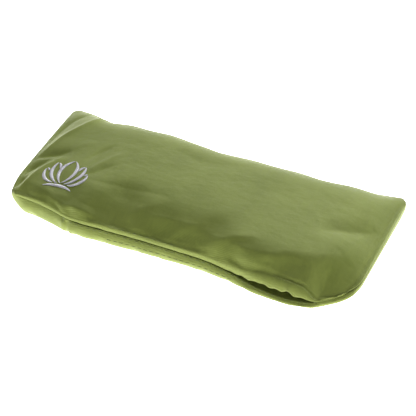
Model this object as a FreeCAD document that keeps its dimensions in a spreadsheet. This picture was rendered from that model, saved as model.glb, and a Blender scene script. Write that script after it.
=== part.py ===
"""Eye pillow: a satin slip cover with a hook-and-loop mouth along one long side, and inside it a seed-filled
cotton bag that slides out of that mouth.

Row frame, in millimetres: +X along the pillow, +Y towards the long side with no mouth, +Z up. The origin is
the centre of the pillow's footprint, on the surface that it lies on.
"""

import FreeCAD, Part
import math
import os

import Sketcher

MM = FreeCAD.Vector
DOC = FreeCAD.newDocument("eye_pillow")

# ---------------------------------------------------------------- driving dimensions
DIMENSIONS = [
    ("cover_length", 222, "outside length of the cover, end seam to end seam"),
    ("cover_width", 104, "outside width, from the lips of the mouth to the far side seam"),
    ("lip_reach", 6, "how far the lips of the mouth stand out from the cushion"),
    ("seam_height", 12, "height of the seam plane above the table"),
    ("cover_crown", 13, "height of the cover's top above the seam plane"),
    ("satin", 0.4, "thickness of the satin, with its turnings pressed flat"),
    ("end_height", 1.2, "height of a half cushion where it meets its end seam"),
    ("corner_ease", 7, "how much narrower the cushion is at its ends than at its middle"),
    ("cover_belly", 24, "width of the curve between the cover's side and its flat underside"),
    ("allowance", 4.2, "width of the seam turnings inside the cover"),
    ("mouth_start", -70, "X of the mouth's left end"),
    ("mouth_end", 92, "X of the mouth's right end"),
    ("mouth_gap", 2.4, "free height between the two lips"),
    ("hem_width", 10.8, "depth of the turned hem on each lip"),
    ("hem", 0.8, "thickness of a hem, two layers of satin"),
    ("lip_taper", 6, "length over which a lip runs out at each end of the mouth"),
    ("tape_start", -41, "X of the left end of the hook and loop tapes"),
    ("tape_length", 86, "length of the hook and loop tapes"),
    ("tape_width", 10, "width of the hook and loop tapes"),
    ("tape_setback", 0.5, "how far a tape is behind the edge of its lip"),
    ("tack_width", 1.5, "width of the tack at each end of the mouth"),
    ("tack_depth", 4, "depth of a tack"),
    ("tack_inset", 0.4, "distance from an end of the mouth to its tack"),
    ("stitch_length", 3, "length of one stitch as it shows"),
    ("stitch_pitch", 4.2, "distance from one stitch to the next"),
    ("thread_width", 0.5, "width of the sewing thread"),
    ("thread_height", 0.25, "how far a stitch stands above the cloth"),
    ("row_margin", 1, "free length before the first and after the last stitch of a row"),
    ("corner_margin", 6, "free length of the front seam before the right front corner"),
    ("raw_margin", 1, "distance from a seam to the raw edge of its turnings"),
    ("corner_clear", 2, "free length of a seam before a corner, on top of the corner's ease"),
    ("bag_row_ease", 3, "how much shorter each half of the inner bag's front seam is"),
    ("closing_row", 1.1, "distance from the closing stitches to the inner bag's cushion"),
    ("hem_row", 1.2, "distance from the edge of a lip to the stitches of its hem"),
    ("tape_row", 1.6, "distance from the second row of a tape to the cushion"),
    ("lotus_x", -81, "X of the embroidery's centre"),
    ("lotus_y", -21, "Y of the embroidery's centre"),
    ("lotus_width", 28, "width of the embroidery"),
    ("lotus_height", 0.5, "how far the embroidery stands above the satin"),
    ("backing_radius", 17, "radius of the stabiliser behind the embroidery"),
    ("backing", 0.25, "thickness of the stabiliser"),
    ("bag_length", 204, "length of the inner bag without its seam flange"),
    ("bag_width", 82, "width of the inner bag without its seam flange"),
    ("bag_flange", 3, "width of the inner bag's seam flange"),
    ("bag_crown", 11.9, "height of the inner bag's top above the seam plane"),
    ("bag_depth", 11.1, "depth of the inner bag below the seam plane"),
    ("bag_belly", 20, "width of the curve at the inner bag's underside"),
    ("cotton", 0.5, "thickness of the inner bag's cotton"),
    ("fill_gap", 0.15, "clearance between the seed fill and the cotton"),
    ("closing_length", 60, "length of the hand-closed stretch of the inner bag's seam"),
    ("bud_length", 5.2, "length of a dried lavender bud"),
    ("bud_width", 2.4, "thickness of a dried lavender bud"),
]
SHEET = DOC.addObject("Spreadsheet::Sheet", "Dimensions")
for row, (alias, value, note) in enumerate(DIMENSIONS, start=1):
    SHEET.set(f"A{row}", alias)
    SHEET.set(f"B{row}", str(value))
    SHEET.set(f"C{row}", note)
    SHEET.setAlias(f"B{row}", alias)
DOC.recompute()

# Shared expressions, built from the cells.
HALF_DOME = "(Dimensions.cover_width - Dimensions.lip_reach) / 2"
MIDDLE_Y = "Dimensions.lip_reach / 2"
FRONT_Y = "(-Dimensions.cover_width / 2)"
SEAM_Z = "Dimensions.seam_height"
SEAM_CORNER = "(Dimensions.corner_ease + Dimensions.corner_clear)"
UPPER_LIP_Z = "(Dimensions.seam_height + Dimensions.mouth_gap / 2)"
LOWER_LIP_Z = "(Dimensions.seam_height - Dimensions.mouth_gap / 2 - Dimensions.hem)"

STATIONS = 16  # lengths between the cross-sections of a cushion, closer together towards its ends
FLAT_SHARE = 0.72  # share of the half length over which the underside lies flat
CORNER_POWER = 24  # how suddenly a cushion narrows at its ends
CROWN_POWER = 4  # how suddenly its top falls towards the ends


def value(expression):
    """The number that an expression of the sheet's cells gives."""
    return float(SHEET.evalExpression(expression))


# ---------------------------------------------------------------- sketch helpers
def new_body(label):
    body = DOC.addObject("PartDesign::Body", label)
    body.Label = label
    body.AllowCompound = True
    return body


def new_sketch(body, name, role, offset):
    """A sketch parallel to one of the body's own origin planes, at the distance that an expression gives."""
    plane = next(f for f in body.Origin.OriginFeatures if f.Role == role)
    sketch = body.newObject("Sketcher::SketchObject", name)
    sketch.AttachmentSupport = [(plane, "")]
    sketch.MapMode = "FlatFace"
    sketch.setExpression("AttachmentOffset.Base.z", offset)
    return sketch


def bind(sketch, kind, references, expression):
    """Adds a dimension and binds it to an expression of the sheet's cells."""
    index = sketch.addConstraint(Sketcher.Constraint(kind, *references, value(expression)))
    sketch.setExpression(f"Constraints[{index}]", expression)


def pin_point(sketch, edge, end, x, y):
    """Places one end of an edge by its two coordinates."""
    bind(sketch, "DistanceX", (-1, 1, edge, end), x)
    bind(sketch, "DistanceY", (-1, 1, edge, end), y)


def polygon(sketch, corners):
    """A closed outline of straight edges through corners given as pairs of expressions."""
    points = [MM(value(x), value(y), 0) for x, y in corners]
    edges = []
    for index, start in enumerate(points):
        end = points[(index + 1) % len(points)]
        edges.append(sketch.addGeometry(Part.LineSegment(start, end)))
    for index, edge in enumerate(edges):
        following = edges[(index + 1) % len(edges)]
        sketch.addConstraint(Sketcher.Constraint("Coincident", edge, 2, following, 1))
        pin_point(sketch, edge, 1, *corners[index])


def rectangle(sketch, left, right, low, high):
    polygon(sketch, [(left, low), (right, low), (right, high), (left, high)])


def ellipse_arc(sketch, centre_x, wide, tall, start, end):
    """An arc of an upright or lying ellipse centred on the X axis. Its two semi-axes are expressions."""
    centre = MM(value(centre_x), 0, 0)
    ellipse = Part.Ellipse(centre + MM(value(wide), 0, 0), centre + MM(0, value(tall), 0), centre)
    arc = sketch.addGeometry(Part.ArcOfEllipse(ellipse, start, end))
    major = sketch.GeometryCount
    sketch.exposeInternalGeometry(arc)
    bind(sketch, "DistanceX", (-1, 1, arc, 3), centre_x)
    sketch.addConstraint(Sketcher.Constraint("PointOnObject", arc, 3, -1))
    sketch.addConstraint(Sketcher.Constraint("Horizontal", major))
    bind(sketch, "Distance", (major,), f"2 * ({wide})")
    bind(sketch, "Distance", (major + 1,), f"2 * ({tall})")
    return arc


def close_with_line(sketch, first, first_end, second, second_end):
    start, end = sketch.getPoint(first, first_end), sketch.getPoint(second, second_end)
    line = sketch.addGeometry(Part.LineSegment(start, end))
    sketch.addConstraint(Sketcher.Constraint("Coincident", line, 1, first, first_end))
    sketch.addConstraint(Sketcher.Constraint("Coincident", line, 2, second, second_end))


# ---------------------------------------------------------------- half cushions
def top_section(sketch, half, height):
    """Half an ellipse that stands on the seam plane."""
    arc = ellipse_arc(sketch, "0 * " + half, half, height, 0, math.pi)
    for end in (1, 2):
        sketch.addConstraint(Sketcher.Constraint("PointOnObject", arc, end, -1))
    close_with_line(sketch, arc, 1, arc, 2)


def bottom_section(sketch, half, depth, belly):
    """Two quarter ellipses that hang from the seam plane, with a flat stretch between their feet."""
    arcs = []
    for side, start in ((1, -math.pi / 2), (-1, -math.pi)):
        centre = f"({side} * (({half}) - ({belly})))"
        arc = ellipse_arc(sketch, centre, belly, depth, start, start + math.pi / 2)
        rim, foot = (2, 1) if side > 0 else (1, 2)
        sketch.addConstraint(Sketcher.Constraint("PointOnObject", arc, rim, -1))
        sketch.addConstraint(Sketcher.Constraint("Vertical", arc, 3, arc, foot))
        arcs.append((arc, rim, foot))
    (right, right_rim, right_foot), (left, left_rim, left_foot) = arcs
    close_with_line(sketch, left, left_foot, right, right_foot)
    close_with_line(sketch, right, right_rim, left, left_rim)


def station(index, length, half, inset):
    """How far along a cushion a station is, from -1 to 1, and its X and half width there as expressions."""
    along = -math.cos(math.pi * index / STATIONS)
    x = f"{along:.6f} * (({length}) / 2 - ({inset}))"
    reach = f"(({half}) - Dimensions.corner_ease * {abs(along) ** CORNER_POWER:.6f} - ({inset}))"
    return along, x, reach


def add_half_cushion(body, name, feature, length, half, height, belly=None, inset="0"):
    """Lofts a half cushion and adds it to the body or takes it away. With a belly it is the lower half.
    The inset makes it smaller all round, for the inside of a wall."""
    sections = []
    for index in range(STATIONS + 1):
        along, x, reach = station(index, length, half, inset)
        if belly is None:
            share = math.sqrt(1 - min(1, along**CROWN_POWER))
        else:
            slope = max(0, (abs(along) - FLAT_SHARE) / (1 - FLAT_SHARE))
            share = math.sqrt(1 - min(1, slope**2))
        sketch = new_sketch(body, f"{name}_{index}", "YZ_Plane", x)
        sketch.setExpression("AttachmentOffset.Base.x", MIDDLE_Y)
        sketch.setExpression("AttachmentOffset.Base.y", SEAM_Z)
        tip = "Dimensions.end_height"
        rise = f"({tip} + (({height}) - {tip}) * {share:.6f} - ({inset}))"
        if belly is None:
            top_section(sketch, reach, rise)
        else:
            bottom_section(sketch, reach, rise, f"(({belly}) - ({inset}))")
        sections.append(sketch)
    DOC.recompute()
    loft = body.newObject(f"PartDesign::{feature}", name)
    loft.Profile = sections[0]
    loft.Sections = sections[1:]
    loft.Ruled = True
    DOC.recompute()
    return loft


def add_pad(body, sketch, height, name):
    """Pads a sketch upwards by an expression."""
    DOC.recompute()
    pad = body.newObject("PartDesign::Pad", name)
    pad.Profile = sketch
    pad.setExpression("Length", height)
    DOC.recompute()
    return pad


# ---------------------------------------------------------------- the satin cover
def cushion_outline(length, half, inset):
    """The corners, as expressions, of a cushion's outline at its seam."""
    front, back = [], []
    for index in range(STATIONS + 1):
        _, x, reach = station(index, length, half, inset)
        front.append((x, f"{MIDDLE_Y} - {reach}"))
        back.append((x, f"{MIDDLE_Y} + {reach}"))
    return front + back[::-1]


def add_turnings(body, base_z):
    """The seam turnings, a flat strip inside the cover along its sewn edges."""
    length = "Dimensions.cover_length"
    sketch = new_sketch(body, "turnings_outline", "XY_Plane", base_z)
    polygon(sketch, cushion_outline(length, HALF_DOME, "Dimensions.satin / 2"))
    polygon(sketch, cushion_outline(length, HALF_DOME, "Dimensions.satin + Dimensions.allowance"))
    add_pad(body, sketch, "Dimensions.satin", "turnings")


def cut_mouth(body, upper):
    """Cuts the slit between the lips out of the turnings and the side wall."""
    opening = new_sketch(body, "mouth_outline", "XY_Plane", SEAM_Z)
    front = f"{MIDDLE_Y} - {HALF_DOME}"
    rectangle(
        opening,
        "Dimensions.mouth_start",
        "Dimensions.mouth_end",
        f"{front} - 1",
        f"{front} + Dimensions.satin + Dimensions.allowance + 1",
    )
    DOC.recompute()
    pocket = body.newObject("PartDesign::Pocket", "mouth")
    pocket.Profile = opening
    pocket.setExpression("Length", "Dimensions.mouth_gap / 2")
    pocket.Reversed = upper
    DOC.recompute()


def add_lip(body, base_z):
    """The turned hem that forms one lip of the mouth, tapered at both ends."""
    sketch = new_sketch(body, "lip_outline", "XY_Plane", base_z)
    root_y = f"{FRONT_Y} + Dimensions.hem_width"
    polygon(
        sketch,
        [
            ("Dimensions.mouth_start", root_y),
            ("Dimensions.mouth_start", f"{FRONT_Y} + Dimensions.lip_reach"),
            ("Dimensions.mouth_start + Dimensions.lip_taper", FRONT_Y),
            ("Dimensions.mouth_end - Dimensions.lip_taper", FRONT_Y),
            ("Dimensions.mouth_end", f"{FRONT_Y} + Dimensions.lip_reach"),
            ("Dimensions.mouth_end", root_y),
        ],
    )
    add_pad(body, sketch, "Dimensions.hem", "lip")


def cover_panel(label, upper):
    """A satin panel of the cover: a thin half cushion with seam turnings, a slit for the mouth and a lip."""
    body = new_body(label)
    height = "Dimensions.cover_crown" if upper else SEAM_Z
    belly = None if upper else "Dimensions.cover_belly"
    length = "Dimensions.cover_length"
    add_half_cushion(body, "outside", "AdditiveLoft", length, HALF_DOME, height, belly)
    add_half_cushion(body, "inside", "SubtractiveLoft", length, HALF_DOME, height, belly, "Dimensions.satin")
    add_turnings(body, SEAM_Z if upper else f"{SEAM_Z} - Dimensions.satin")
    cut_mouth(body, upper)
    add_lip(body, UPPER_LIP_Z if upper else LOWER_LIP_Z)
    return body


# ---------------------------------------------------------------- closure tapes
def closure_tape(label, base_z):
    """One half of the hook-and-loop closure, sewn to the inside of a lip."""
    body = new_body(label)
    sketch = new_sketch(body, "outline", "XY_Plane", base_z)
    edge = f"{FRONT_Y} + Dimensions.tape_setback"
    rectangle(
        sketch,
        "Dimensions.tape_start",
        "Dimensions.tape_start + Dimensions.tape_length",
        edge,
        f"{edge} + Dimensions.tape_width",
    )
    add_pad(body, sketch, "Dimensions.mouth_gap / 2", "tape")
    return body


# ---------------------------------------------------------------- stitching
def stitch_row(body, name, start, length, z, direction):
    """A straight row of separate stitches. start is the X and Y of its first end, and direction is X or Y."""
    sketch = new_sketch(body, f"{name}_stitch", "XY_Plane", z)
    along, across = "Dimensions.stitch_length", "Dimensions.thread_width"
    size_x, size_y = (along, across) if direction == "X" else (across, along)
    x, y = start
    rectangle(sketch, x, f"{x} + {size_x}", y, f"{y} + {size_y}")
    pad = add_pad(body, sketch, "Dimensions.thread_height", f"{name}_first")
    row = body.newObject("PartDesign::LinearPattern", f"{name}_row")
    row.Originals = [pad]
    row.Direction = (sketch, ["H_Axis" if direction == "X" else "V_Axis"])
    row.setExpression("Length", length)
    row.Occurrences = max(2, round(value(length) / value("Dimensions.stitch_pitch")) + 1)
    DOC.recompute()
    body.Tip = row
    return row


def seam_stitching(label, half_length, half_width, edge, layer, front_runs):
    """The two faces of a lockstitched seam round a cushion: needle thread above the turnings, bobbin thread
    below. edge is how far the seam is inside the outline, and front_runs are the sewn
    stretches of the front side, each as a start and a length."""
    body = new_body(label)
    faces = {
        "needle": f"{SEAM_Z} + {layer}",
        "bobbin": f"{SEAM_Z} - {layer} - Dimensions.thread_height",
    }
    half_x = f"({half_length} - ({edge}))"
    half_y = f"({half_width} - ({edge}))"
    for face, z in faces.items():
        side_length = f"2 * ({half_y} - {SEAM_CORNER}) - Dimensions.stitch_length"
        long_length = f"2 * ({half_x} - {SEAM_CORNER}) - Dimensions.stitch_length"
        low_y = f"{MIDDLE_Y} - {half_y} + {SEAM_CORNER}"
        stitch_row(body, f"{face}_left", (f"-{half_x}", low_y), side_length, z, "Y")
        right_x = f"{half_x} - Dimensions.thread_width"
        stitch_row(body, f"{face}_right", (right_x, low_y), side_length, z, "Y")
        back_y = f"{MIDDLE_Y} + {half_y} - Dimensions.thread_width"
        stitch_row(body, f"{face}_back", (f"-{half_x} + {SEAM_CORNER}", back_y), long_length, z, "X")
        for index, (start, length) in enumerate(front_runs):
            row_start = (start, f"{MIDDLE_Y} - {half_y}")
            stitch_row(body, f"{face}_front_{index}", row_start, length, z, "X")
    return body


def hem_stitching(label, z):
    """The row of stitches that holds a lip's hem and the outer edge of its tape."""
    body = new_body(label)
    start_x = "Dimensions.mouth_start + Dimensions.lip_taper + Dimensions.row_margin"
    end_x = "Dimensions.mouth_end - Dimensions.lip_taper - Dimensions.row_margin - Dimensions.stitch_length"
    stitch_row(body, "hem", (start_x, f"{FRONT_Y} + Dimensions.hem_row"), f"{end_x} - ({start_x})", z, "X")
    return body


def tape_stitching(label, z):
    """The second row that holds a tape to its lip, just outside the cushion."""
    body = new_body(label)
    start = (
        "Dimensions.tape_start + Dimensions.row_margin",
        f"{FRONT_Y} + Dimensions.lip_reach - Dimensions.tape_row",
    )
    length = "Dimensions.tape_length - Dimensions.stitch_length - 2 * Dimensions.row_margin"
    stitch_row(body, "tape", start, length, z, "X")
    return body


def mouth_bar_tacks():
    """A short dense block of stitching that joins the lips at each end of the mouth."""
    body = new_body("mouth_bar_tacks")
    sketch = new_sketch(body, "outline", "XY_Plane", f"{SEAM_Z} - Dimensions.mouth_gap / 2")
    low = f"{FRONT_Y} + Dimensions.lip_reach"
    high = f"{low} + Dimensions.tack_depth"
    first = "Dimensions.mouth_start + Dimensions.tack_inset"
    last = "Dimensions.mouth_end - Dimensions.tack_inset - Dimensions.tack_width"
    for left in (first, last):
        rectangle(sketch, left, f"{left} + Dimensions.tack_width", low, high)
    add_pad(body, sketch, "Dimensions.mouth_gap", "tacks")
    return body


# ---------------------------------------------------------------- embroidery
# One side of the lotus as crescents: two tips and how far its outer and inner edges bulge to the left of the
# way from the first tip to the second. Units are 28ths of the embroidery's width.
PETAL_STROKES = [
    ((-0.5, -7.6), (-0.5, 12.8), 5.4, 3.6),  # side of the middle petal
    ((-2.6, -8.2), (-9.6, 8.6), 4.5, 2.7),  # outer side of the second petal
    ((-8.7, 8.7), (-6.6, 4.6), 1.3, 0.1),  # its inner side, where the middle petal overlaps it
    ((-5.2, -8.6), (-14.0, 1.4), 4.0, 2.3),  # outer side of the third petal
    ((-13.3, 2.4), (-11.9, 0.9), 0.7, -0.2),  # its inner side
]
BASE_STROKE = ((9.2, -12.4), (-9.2, -12.4), -3.2, -1.5)  # the curve under the petals


def crescent(sketch, first, second, outer, inner):
    """A closed stroke between two tips, bounded by two circular arcs."""
    unit = "Dimensions.lotus_width / 28"
    (x0, y0), (x1, y1) = first, second
    chord = math.hypot(x1 - x0, y1 - y0)
    left_x, left_y = -(y1 - y0) / chord, (x1 - x0) / chord
    size = value(unit)
    centre = MM(value("Dimensions.lotus_x"), value("Dimensions.lotus_y"), 0)
    start, end = centre + MM(x0, y0, 0) * size, centre + MM(x1, y1, 0) * size
    arcs = []
    for bulge in (outer, inner):
        middle = (start + end) * 0.5 + MM(left_x, left_y, 0) * (bulge * size)
        arc = sketch.addGeometry(Part.Arc(start, middle, end))
        radius = (chord**2 / 4 + bulge**2) / (2 * abs(bulge))
        bind(sketch, "Radius", (arc,), f"{radius:.5f} * {unit}")
        arcs.append(arc)
    ends = []
    for arc in arcs:
        near = (sketch.getPoint(arc, 1) - start).Length < (sketch.getPoint(arc, 2) - start).Length
        ends.append((1, 2) if near else (2, 1))
    for which in (0, 1):
        joined = Sketcher.Constraint("Coincident", arcs[0], ends[0][which], arcs[1], ends[1][which])
        sketch.addConstraint(joined)
    for (x, y), which in (((x0, y0), 0), ((x1, y1), 1)):
        pin_point(
            sketch,
            arcs[0],
            ends[0][which],
            f"Dimensions.lotus_x + {x} * {unit}",
            f"Dimensions.lotus_y + {y} * {unit}",
        )


def cut_to_outline(body, name, draw):
    """Keeps only what lies above or below the outlines that draw makes in a sketch."""
    sketch = new_sketch(body, name, "XY_Plane", SEAM_Z)
    half_x, half_y = "Dimensions.cover_length", "Dimensions.cover_width"
    rectangle(sketch, f"-{half_x}", half_x, f"-{half_y}", half_y)
    draw(sketch)
    DOC.recompute()
    pocket = body.newObject("PartDesign::Pocket", f"{name}_cut")
    pocket.Profile = sketch
    pocket.Reversed = True
    pocket.setExpression("Length", "2 * Dimensions.cover_crown")
    DOC.recompute()


def embroidered_lotus():
    """Satin-stitched strokes that follow the cover's upper surface, each a separate solid."""
    body = new_body("embroidered_lotus")
    size = ("Dimensions.cover_length", HALF_DOME, "Dimensions.cover_crown", None)
    add_half_cushion(body, "thread_top", "AdditiveLoft", *size, "-Dimensions.lotus_height")
    add_half_cushion(body, "satin_surface", "SubtractiveLoft", *size)

    def draw(sketch):
        for (x0, y0), (x1, y1), outer, inner in PETAL_STROKES:
            crescent(sketch, (x0, y0), (x1, y1), outer, inner)
            crescent(sketch, (-x1, y1), (-x0, y0), outer, inner)
        crescent(sketch, *BASE_STROKE)

    cut_to_outline(body, "lotus_outline", draw)
    return body


def embroidery_backing():
    """The round patch of stabiliser behind the embroidery, on the satin's inside."""
    body = new_body("embroidery_backing")
    size = ("Dimensions.cover_length", HALF_DOME, "Dimensions.cover_crown", None)
    add_half_cushion(body, "satin_inside", "AdditiveLoft", *size, "Dimensions.satin")
    depth = "Dimensions.satin + Dimensions.backing"
    add_half_cushion(body, "backing_inside", "SubtractiveLoft", *size, depth)

    def draw(sketch):
        centre = MM(value("Dimensions.lotus_x"), value("Dimensions.lotus_y"), 0)
        radius = value("Dimensions.backing_radius")
        circle = sketch.addGeometry(Part.Circle(centre, MM(0, 0, 1), radius))
        bind(sketch, "Radius", (circle,), "Dimensions.backing_radius")
        pin_point(sketch, circle, 3, "Dimensions.lotus_x", "Dimensions.lotus_y")

    cut_to_outline(body, "backing_outline", draw)
    return body


# ---------------------------------------------------------------- the inner bag
def bag_panel(label, upper):
    """One cotton panel of the inner bag: a thin half cushion with a flat seam flange round it."""
    body = new_body(label)
    half = "Dimensions.bag_width / 2"
    length = "Dimensions.bag_length"
    height = "Dimensions.bag_crown" if upper else "Dimensions.bag_depth"
    belly = None if upper else "Dimensions.bag_belly"
    add_half_cushion(body, "outside", "AdditiveLoft", length, half, height, belly)
    flange_z = SEAM_Z if upper else f"{SEAM_Z} - Dimensions.cotton"
    sketch = new_sketch(body, "flange_outline", "XY_Plane", flange_z)
    polygon(sketch, cushion_outline(length, half, "-Dimensions.bag_flange"))
    add_pad(body, sketch, "Dimensions.cotton", "flange")
    add_half_cushion(body, "inside", "SubtractiveLoft", length, half, height, belly, "Dimensions.cotton")
    return body


def closing_stitching():
    """The second, hand-sewn row where the bag was filled, in the middle of its front flange."""
    body = new_body("inner_closing_stitching")
    length = "Dimensions.closing_length"
    y = f"{MIDDLE_Y} - Dimensions.bag_width / 2 - Dimensions.closing_row"
    for face, z in (
        ("needle", f"{SEAM_Z} + Dimensions.cotton"),
        ("bobbin", f"{SEAM_Z} - Dimensions.cotton - Dimensions.thread_height"),
    ):
        stitch_row(body, face, (f"-{length} / 2", y), length, z, "X")
    return body


def flax_seed_fill():
    """The flax seed, as one solid of the shape that the poured seed takes inside the bag."""
    body = new_body("flax_seed_fill")
    inset = "Dimensions.cotton + Dimensions.fill_gap"
    half = "Dimensions.bag_width / 2"
    length = "Dimensions.bag_length"
    add_half_cushion(body, "above", "AdditiveLoft", length, half, "Dimensions.bag_crown", None, inset)
    belly = "Dimensions.bag_belly"
    add_half_cushion(body, "below", "AdditiveLoft", length, half, "Dimensions.bag_depth", belly, inset)
    return body


BUDS_ALONG, BUDS_ACROSS = 7, 4
BUD_SPREAD = 0.85  # share of the bag's length and width that the buds are spread over


def lavender_buds():
    """Dried lavender buds mixed through the seed, each an ellipsoid of its own."""
    buds = []
    for column in range(BUDS_ALONG):
        for line in range(BUDS_ACROSS):
            number = column * BUDS_ACROSS + line
            bud = DOC.addObject("Part::Ellipsoid", f"bud_{number}")
            bud.setExpression("Radius1", "Dimensions.bud_width / 2")
            bud.setExpression("Radius2", "Dimensions.bud_length / 2")
            bud.setExpression("Radius3", "Dimensions.bud_width / 2")
            x_share = (column + 0.5) / BUDS_ALONG - 0.5 + 0.03 * math.sin(2.4 * number)
            y_share = (line + 0.5) / BUDS_ACROSS - 0.5 + 0.05 * math.cos(1.7 * number)
            bud.setExpression("Placement.Base.x", f"{x_share:.4f} * {BUD_SPREAD} * Dimensions.bag_length")
            across = f"{y_share:.4f} * {BUD_SPREAD} * Dimensions.bag_width"
            bud.setExpression("Placement.Base.y", f"{MIDDLE_Y} + {across}")
            level = 0.3 * math.sin(1.1 * number)
            bud.setExpression("Placement.Base.z", f"{SEAM_Z} + {level:.4f} * Dimensions.bag_depth")
            bud.Placement.Rotation = FreeCAD.Rotation(47 * number, 20 * math.sin(number), 0)
            buds.append(bud)
    group = DOC.addObject("Part::Compound", "lavender_buds")
    group.Label = "lavender_buds"
    group.Links = buds
    DOC.recompute()
    return group


# ---------------------------------------------------------------- build, check and write
def build():
    half_cover = "Dimensions.cover_length / 2"
    seam_edge = "(Dimensions.satin + Dimensions.allowance - Dimensions.raw_margin)"
    last_stitch = "Dimensions.stitch_length + Dimensions.row_margin"
    front_left = (
        f"-{half_cover} + {seam_edge} + {SEAM_CORNER}",
        f"Dimensions.mouth_start + {half_cover} - {seam_edge} - {SEAM_CORNER} - ({last_stitch})",
    )
    right_end = f"{half_cover} - {seam_edge} - Dimensions.corner_margin - Dimensions.stitch_length"
    front_right = ("Dimensions.mouth_end + Dimensions.row_margin", f"{right_end} - Dimensions.mouth_end")
    bag_half_length = "Dimensions.bag_length / 2 + Dimensions.bag_flange"
    bag_half_width = "Dimensions.bag_width / 2 + Dimensions.bag_flange"
    bag_front = (
        f"-({bag_half_length}) + {SEAM_CORNER} + Dimensions.row_margin",
        f"2 * (({bag_half_length}) - {SEAM_CORNER} - Dimensions.bag_row_ease)",
    )
    upper_face = f"{UPPER_LIP_Z} + Dimensions.hem"
    lower_face = f"{LOWER_LIP_Z} - Dimensions.thread_height"
    return [
        cover_panel("cover_top_panel", True),
        cover_panel("cover_bottom_panel", False),
        closure_tape("loop_tape", SEAM_Z),
        closure_tape("hook_tape", f"{SEAM_Z} - Dimensions.mouth_gap / 2"),
        hem_stitching("upper_hem_stitching", upper_face),
        hem_stitching("lower_hem_stitching", lower_face),
        tape_stitching("loop_tape_stitching", upper_face),
        tape_stitching("hook_tape_stitching", lower_face),
        mouth_bar_tacks(),
        seam_stitching(
            "cover_seam_stitching",
            half_cover,
            HALF_DOME,
            seam_edge,
            "Dimensions.satin",
            [front_left, front_right],
        ),
        embroidered_lotus(),
        embroidery_backing(),
        bag_panel("inner_top_panel", True),
        bag_panel("inner_bottom_panel", False),
        seam_stitching(
            "inner_seam_stitching",
            f"({bag_half_length})",
            f"({bag_half_width})",
            "0.8",
            "Dimensions.cotton",
            [bag_front],
        ),
        closing_stitching(),
        flax_seed_fill(),
        lavender_buds(),
    ]


def check_and_write(nodes):
    DOC.recompute()
    failed = [o.Name for o in DOC.Objects if "Invalid" in o.State or "Error" in o.State]
    if failed:
        raise SystemExit(f"these objects failed to build: {failed}")
    os.makedirs("parts", exist_ok=True)
    for node in nodes:
        shape = node.Shape
        if shape.isNull() or not shape.isValid() or not shape.Solids:
            raise SystemExit(f"{node.Label} has no valid solid")
        box = shape.optimalBoundingBox()
        size = " x ".join(f"{v:.1f}" for v in (box.XLength, box.YLength, box.ZLength))
        low = f"z from {box.ZMin:.2f}, y from {box.YMin:.2f}"
        print(f"{node.Label}: {len(shape.Solids)} solids, {shape.Volume:.0f} mm3, {size}, {low}")
        shape.exportStep(os.path.join("parts", f"{node.Label}.step"))


check_and_write(build())
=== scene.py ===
import math

import bpy
import numpy as np
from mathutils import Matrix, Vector
from mathutils.bvhtree import BVHTree


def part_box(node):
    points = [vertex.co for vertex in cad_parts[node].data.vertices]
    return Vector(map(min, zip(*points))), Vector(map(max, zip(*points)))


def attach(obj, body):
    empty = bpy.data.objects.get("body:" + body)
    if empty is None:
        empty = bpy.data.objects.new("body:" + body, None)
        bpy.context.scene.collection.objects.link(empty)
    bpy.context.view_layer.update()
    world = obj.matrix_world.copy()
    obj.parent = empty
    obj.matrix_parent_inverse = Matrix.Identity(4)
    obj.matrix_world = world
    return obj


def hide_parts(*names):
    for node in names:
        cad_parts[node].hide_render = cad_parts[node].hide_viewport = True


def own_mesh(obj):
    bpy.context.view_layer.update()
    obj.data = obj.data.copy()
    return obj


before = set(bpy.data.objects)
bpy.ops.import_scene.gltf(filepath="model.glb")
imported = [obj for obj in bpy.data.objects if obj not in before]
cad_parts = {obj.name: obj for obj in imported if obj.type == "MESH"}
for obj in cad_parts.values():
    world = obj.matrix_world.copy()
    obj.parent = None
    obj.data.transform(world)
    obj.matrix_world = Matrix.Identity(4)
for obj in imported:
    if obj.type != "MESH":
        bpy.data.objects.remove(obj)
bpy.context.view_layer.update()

# The pillow's lengths are in millimetres until a mesh is made. Those of the materials, the lights and the
# camera are in metres.
MM = 0.001


# ---------------- places taken from the frame
def box_mm(node):
    low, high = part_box(node)
    return low / MM, high / MM


panel_low, panel_high = box_mm("cover_top_panel")
lotus_low, lotus_high = box_mm("embroidered_lotus")
backing_low, backing_high = box_mm("embroidery_backing")
tape_low, tape_high = box_mm("hook_tape")
tack_low, tack_high = box_mm("mouth_bar_tacks")
bag_low, bag_high = box_mm("inner_top_panel")
seam_low, seam_high = box_mm("cover_seam_stitching")
closing_low, closing_high = box_mm("inner_closing_stitching")

SEAM_RIDGE = 0.6  # how far the sewn edge stands out from the CAD panels
PAST_TACK = 3  # how far the lips still part beyond the right tack's box
HALF_LENGTH = (panel_high.x - panel_low.x) / 2 + SEAM_RIDGE
TOP = panel_high.z
SEAM = (seam_low.z + seam_high.z) / 2
MOUTH_LEFT, MOUTH_RIGHT = tack_low.x, tack_high.x + PAST_TACK


# ---------------- curves and shares
def curve(*points):
    """A smooth function through a few (position, value) points, level beyond the first and the last."""
    xs, ys = np.array(points, float).T
    steep = np.diff(ys) / np.diff(xs)
    turns = steep[:-1] * steep[1:] <= 0
    inner = np.where(turns, 0, 2 * steep[:-1] * steep[1:] / np.where(turns, 1, steep[:-1] + steep[1:]))
    slopes = np.concatenate([steep[:1], inner, steep[-1:]])

    def at(x):
        x = np.clip(x, xs[0], xs[-1])
        i = np.clip(np.searchsorted(xs, x) - 1, 0, len(xs) - 2)
        step = xs[i + 1] - xs[i]
        s = (x - xs[i]) / step
        value = ys[i] * (1 + 2 * s) * (1 - s) ** 2 + ys[i + 1] * s**2 * (3 - 2 * s)
        return value + step * s * (1 - s) * (slopes[i] * (1 - s) - slopes[i + 1] * s)

    return at


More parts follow.
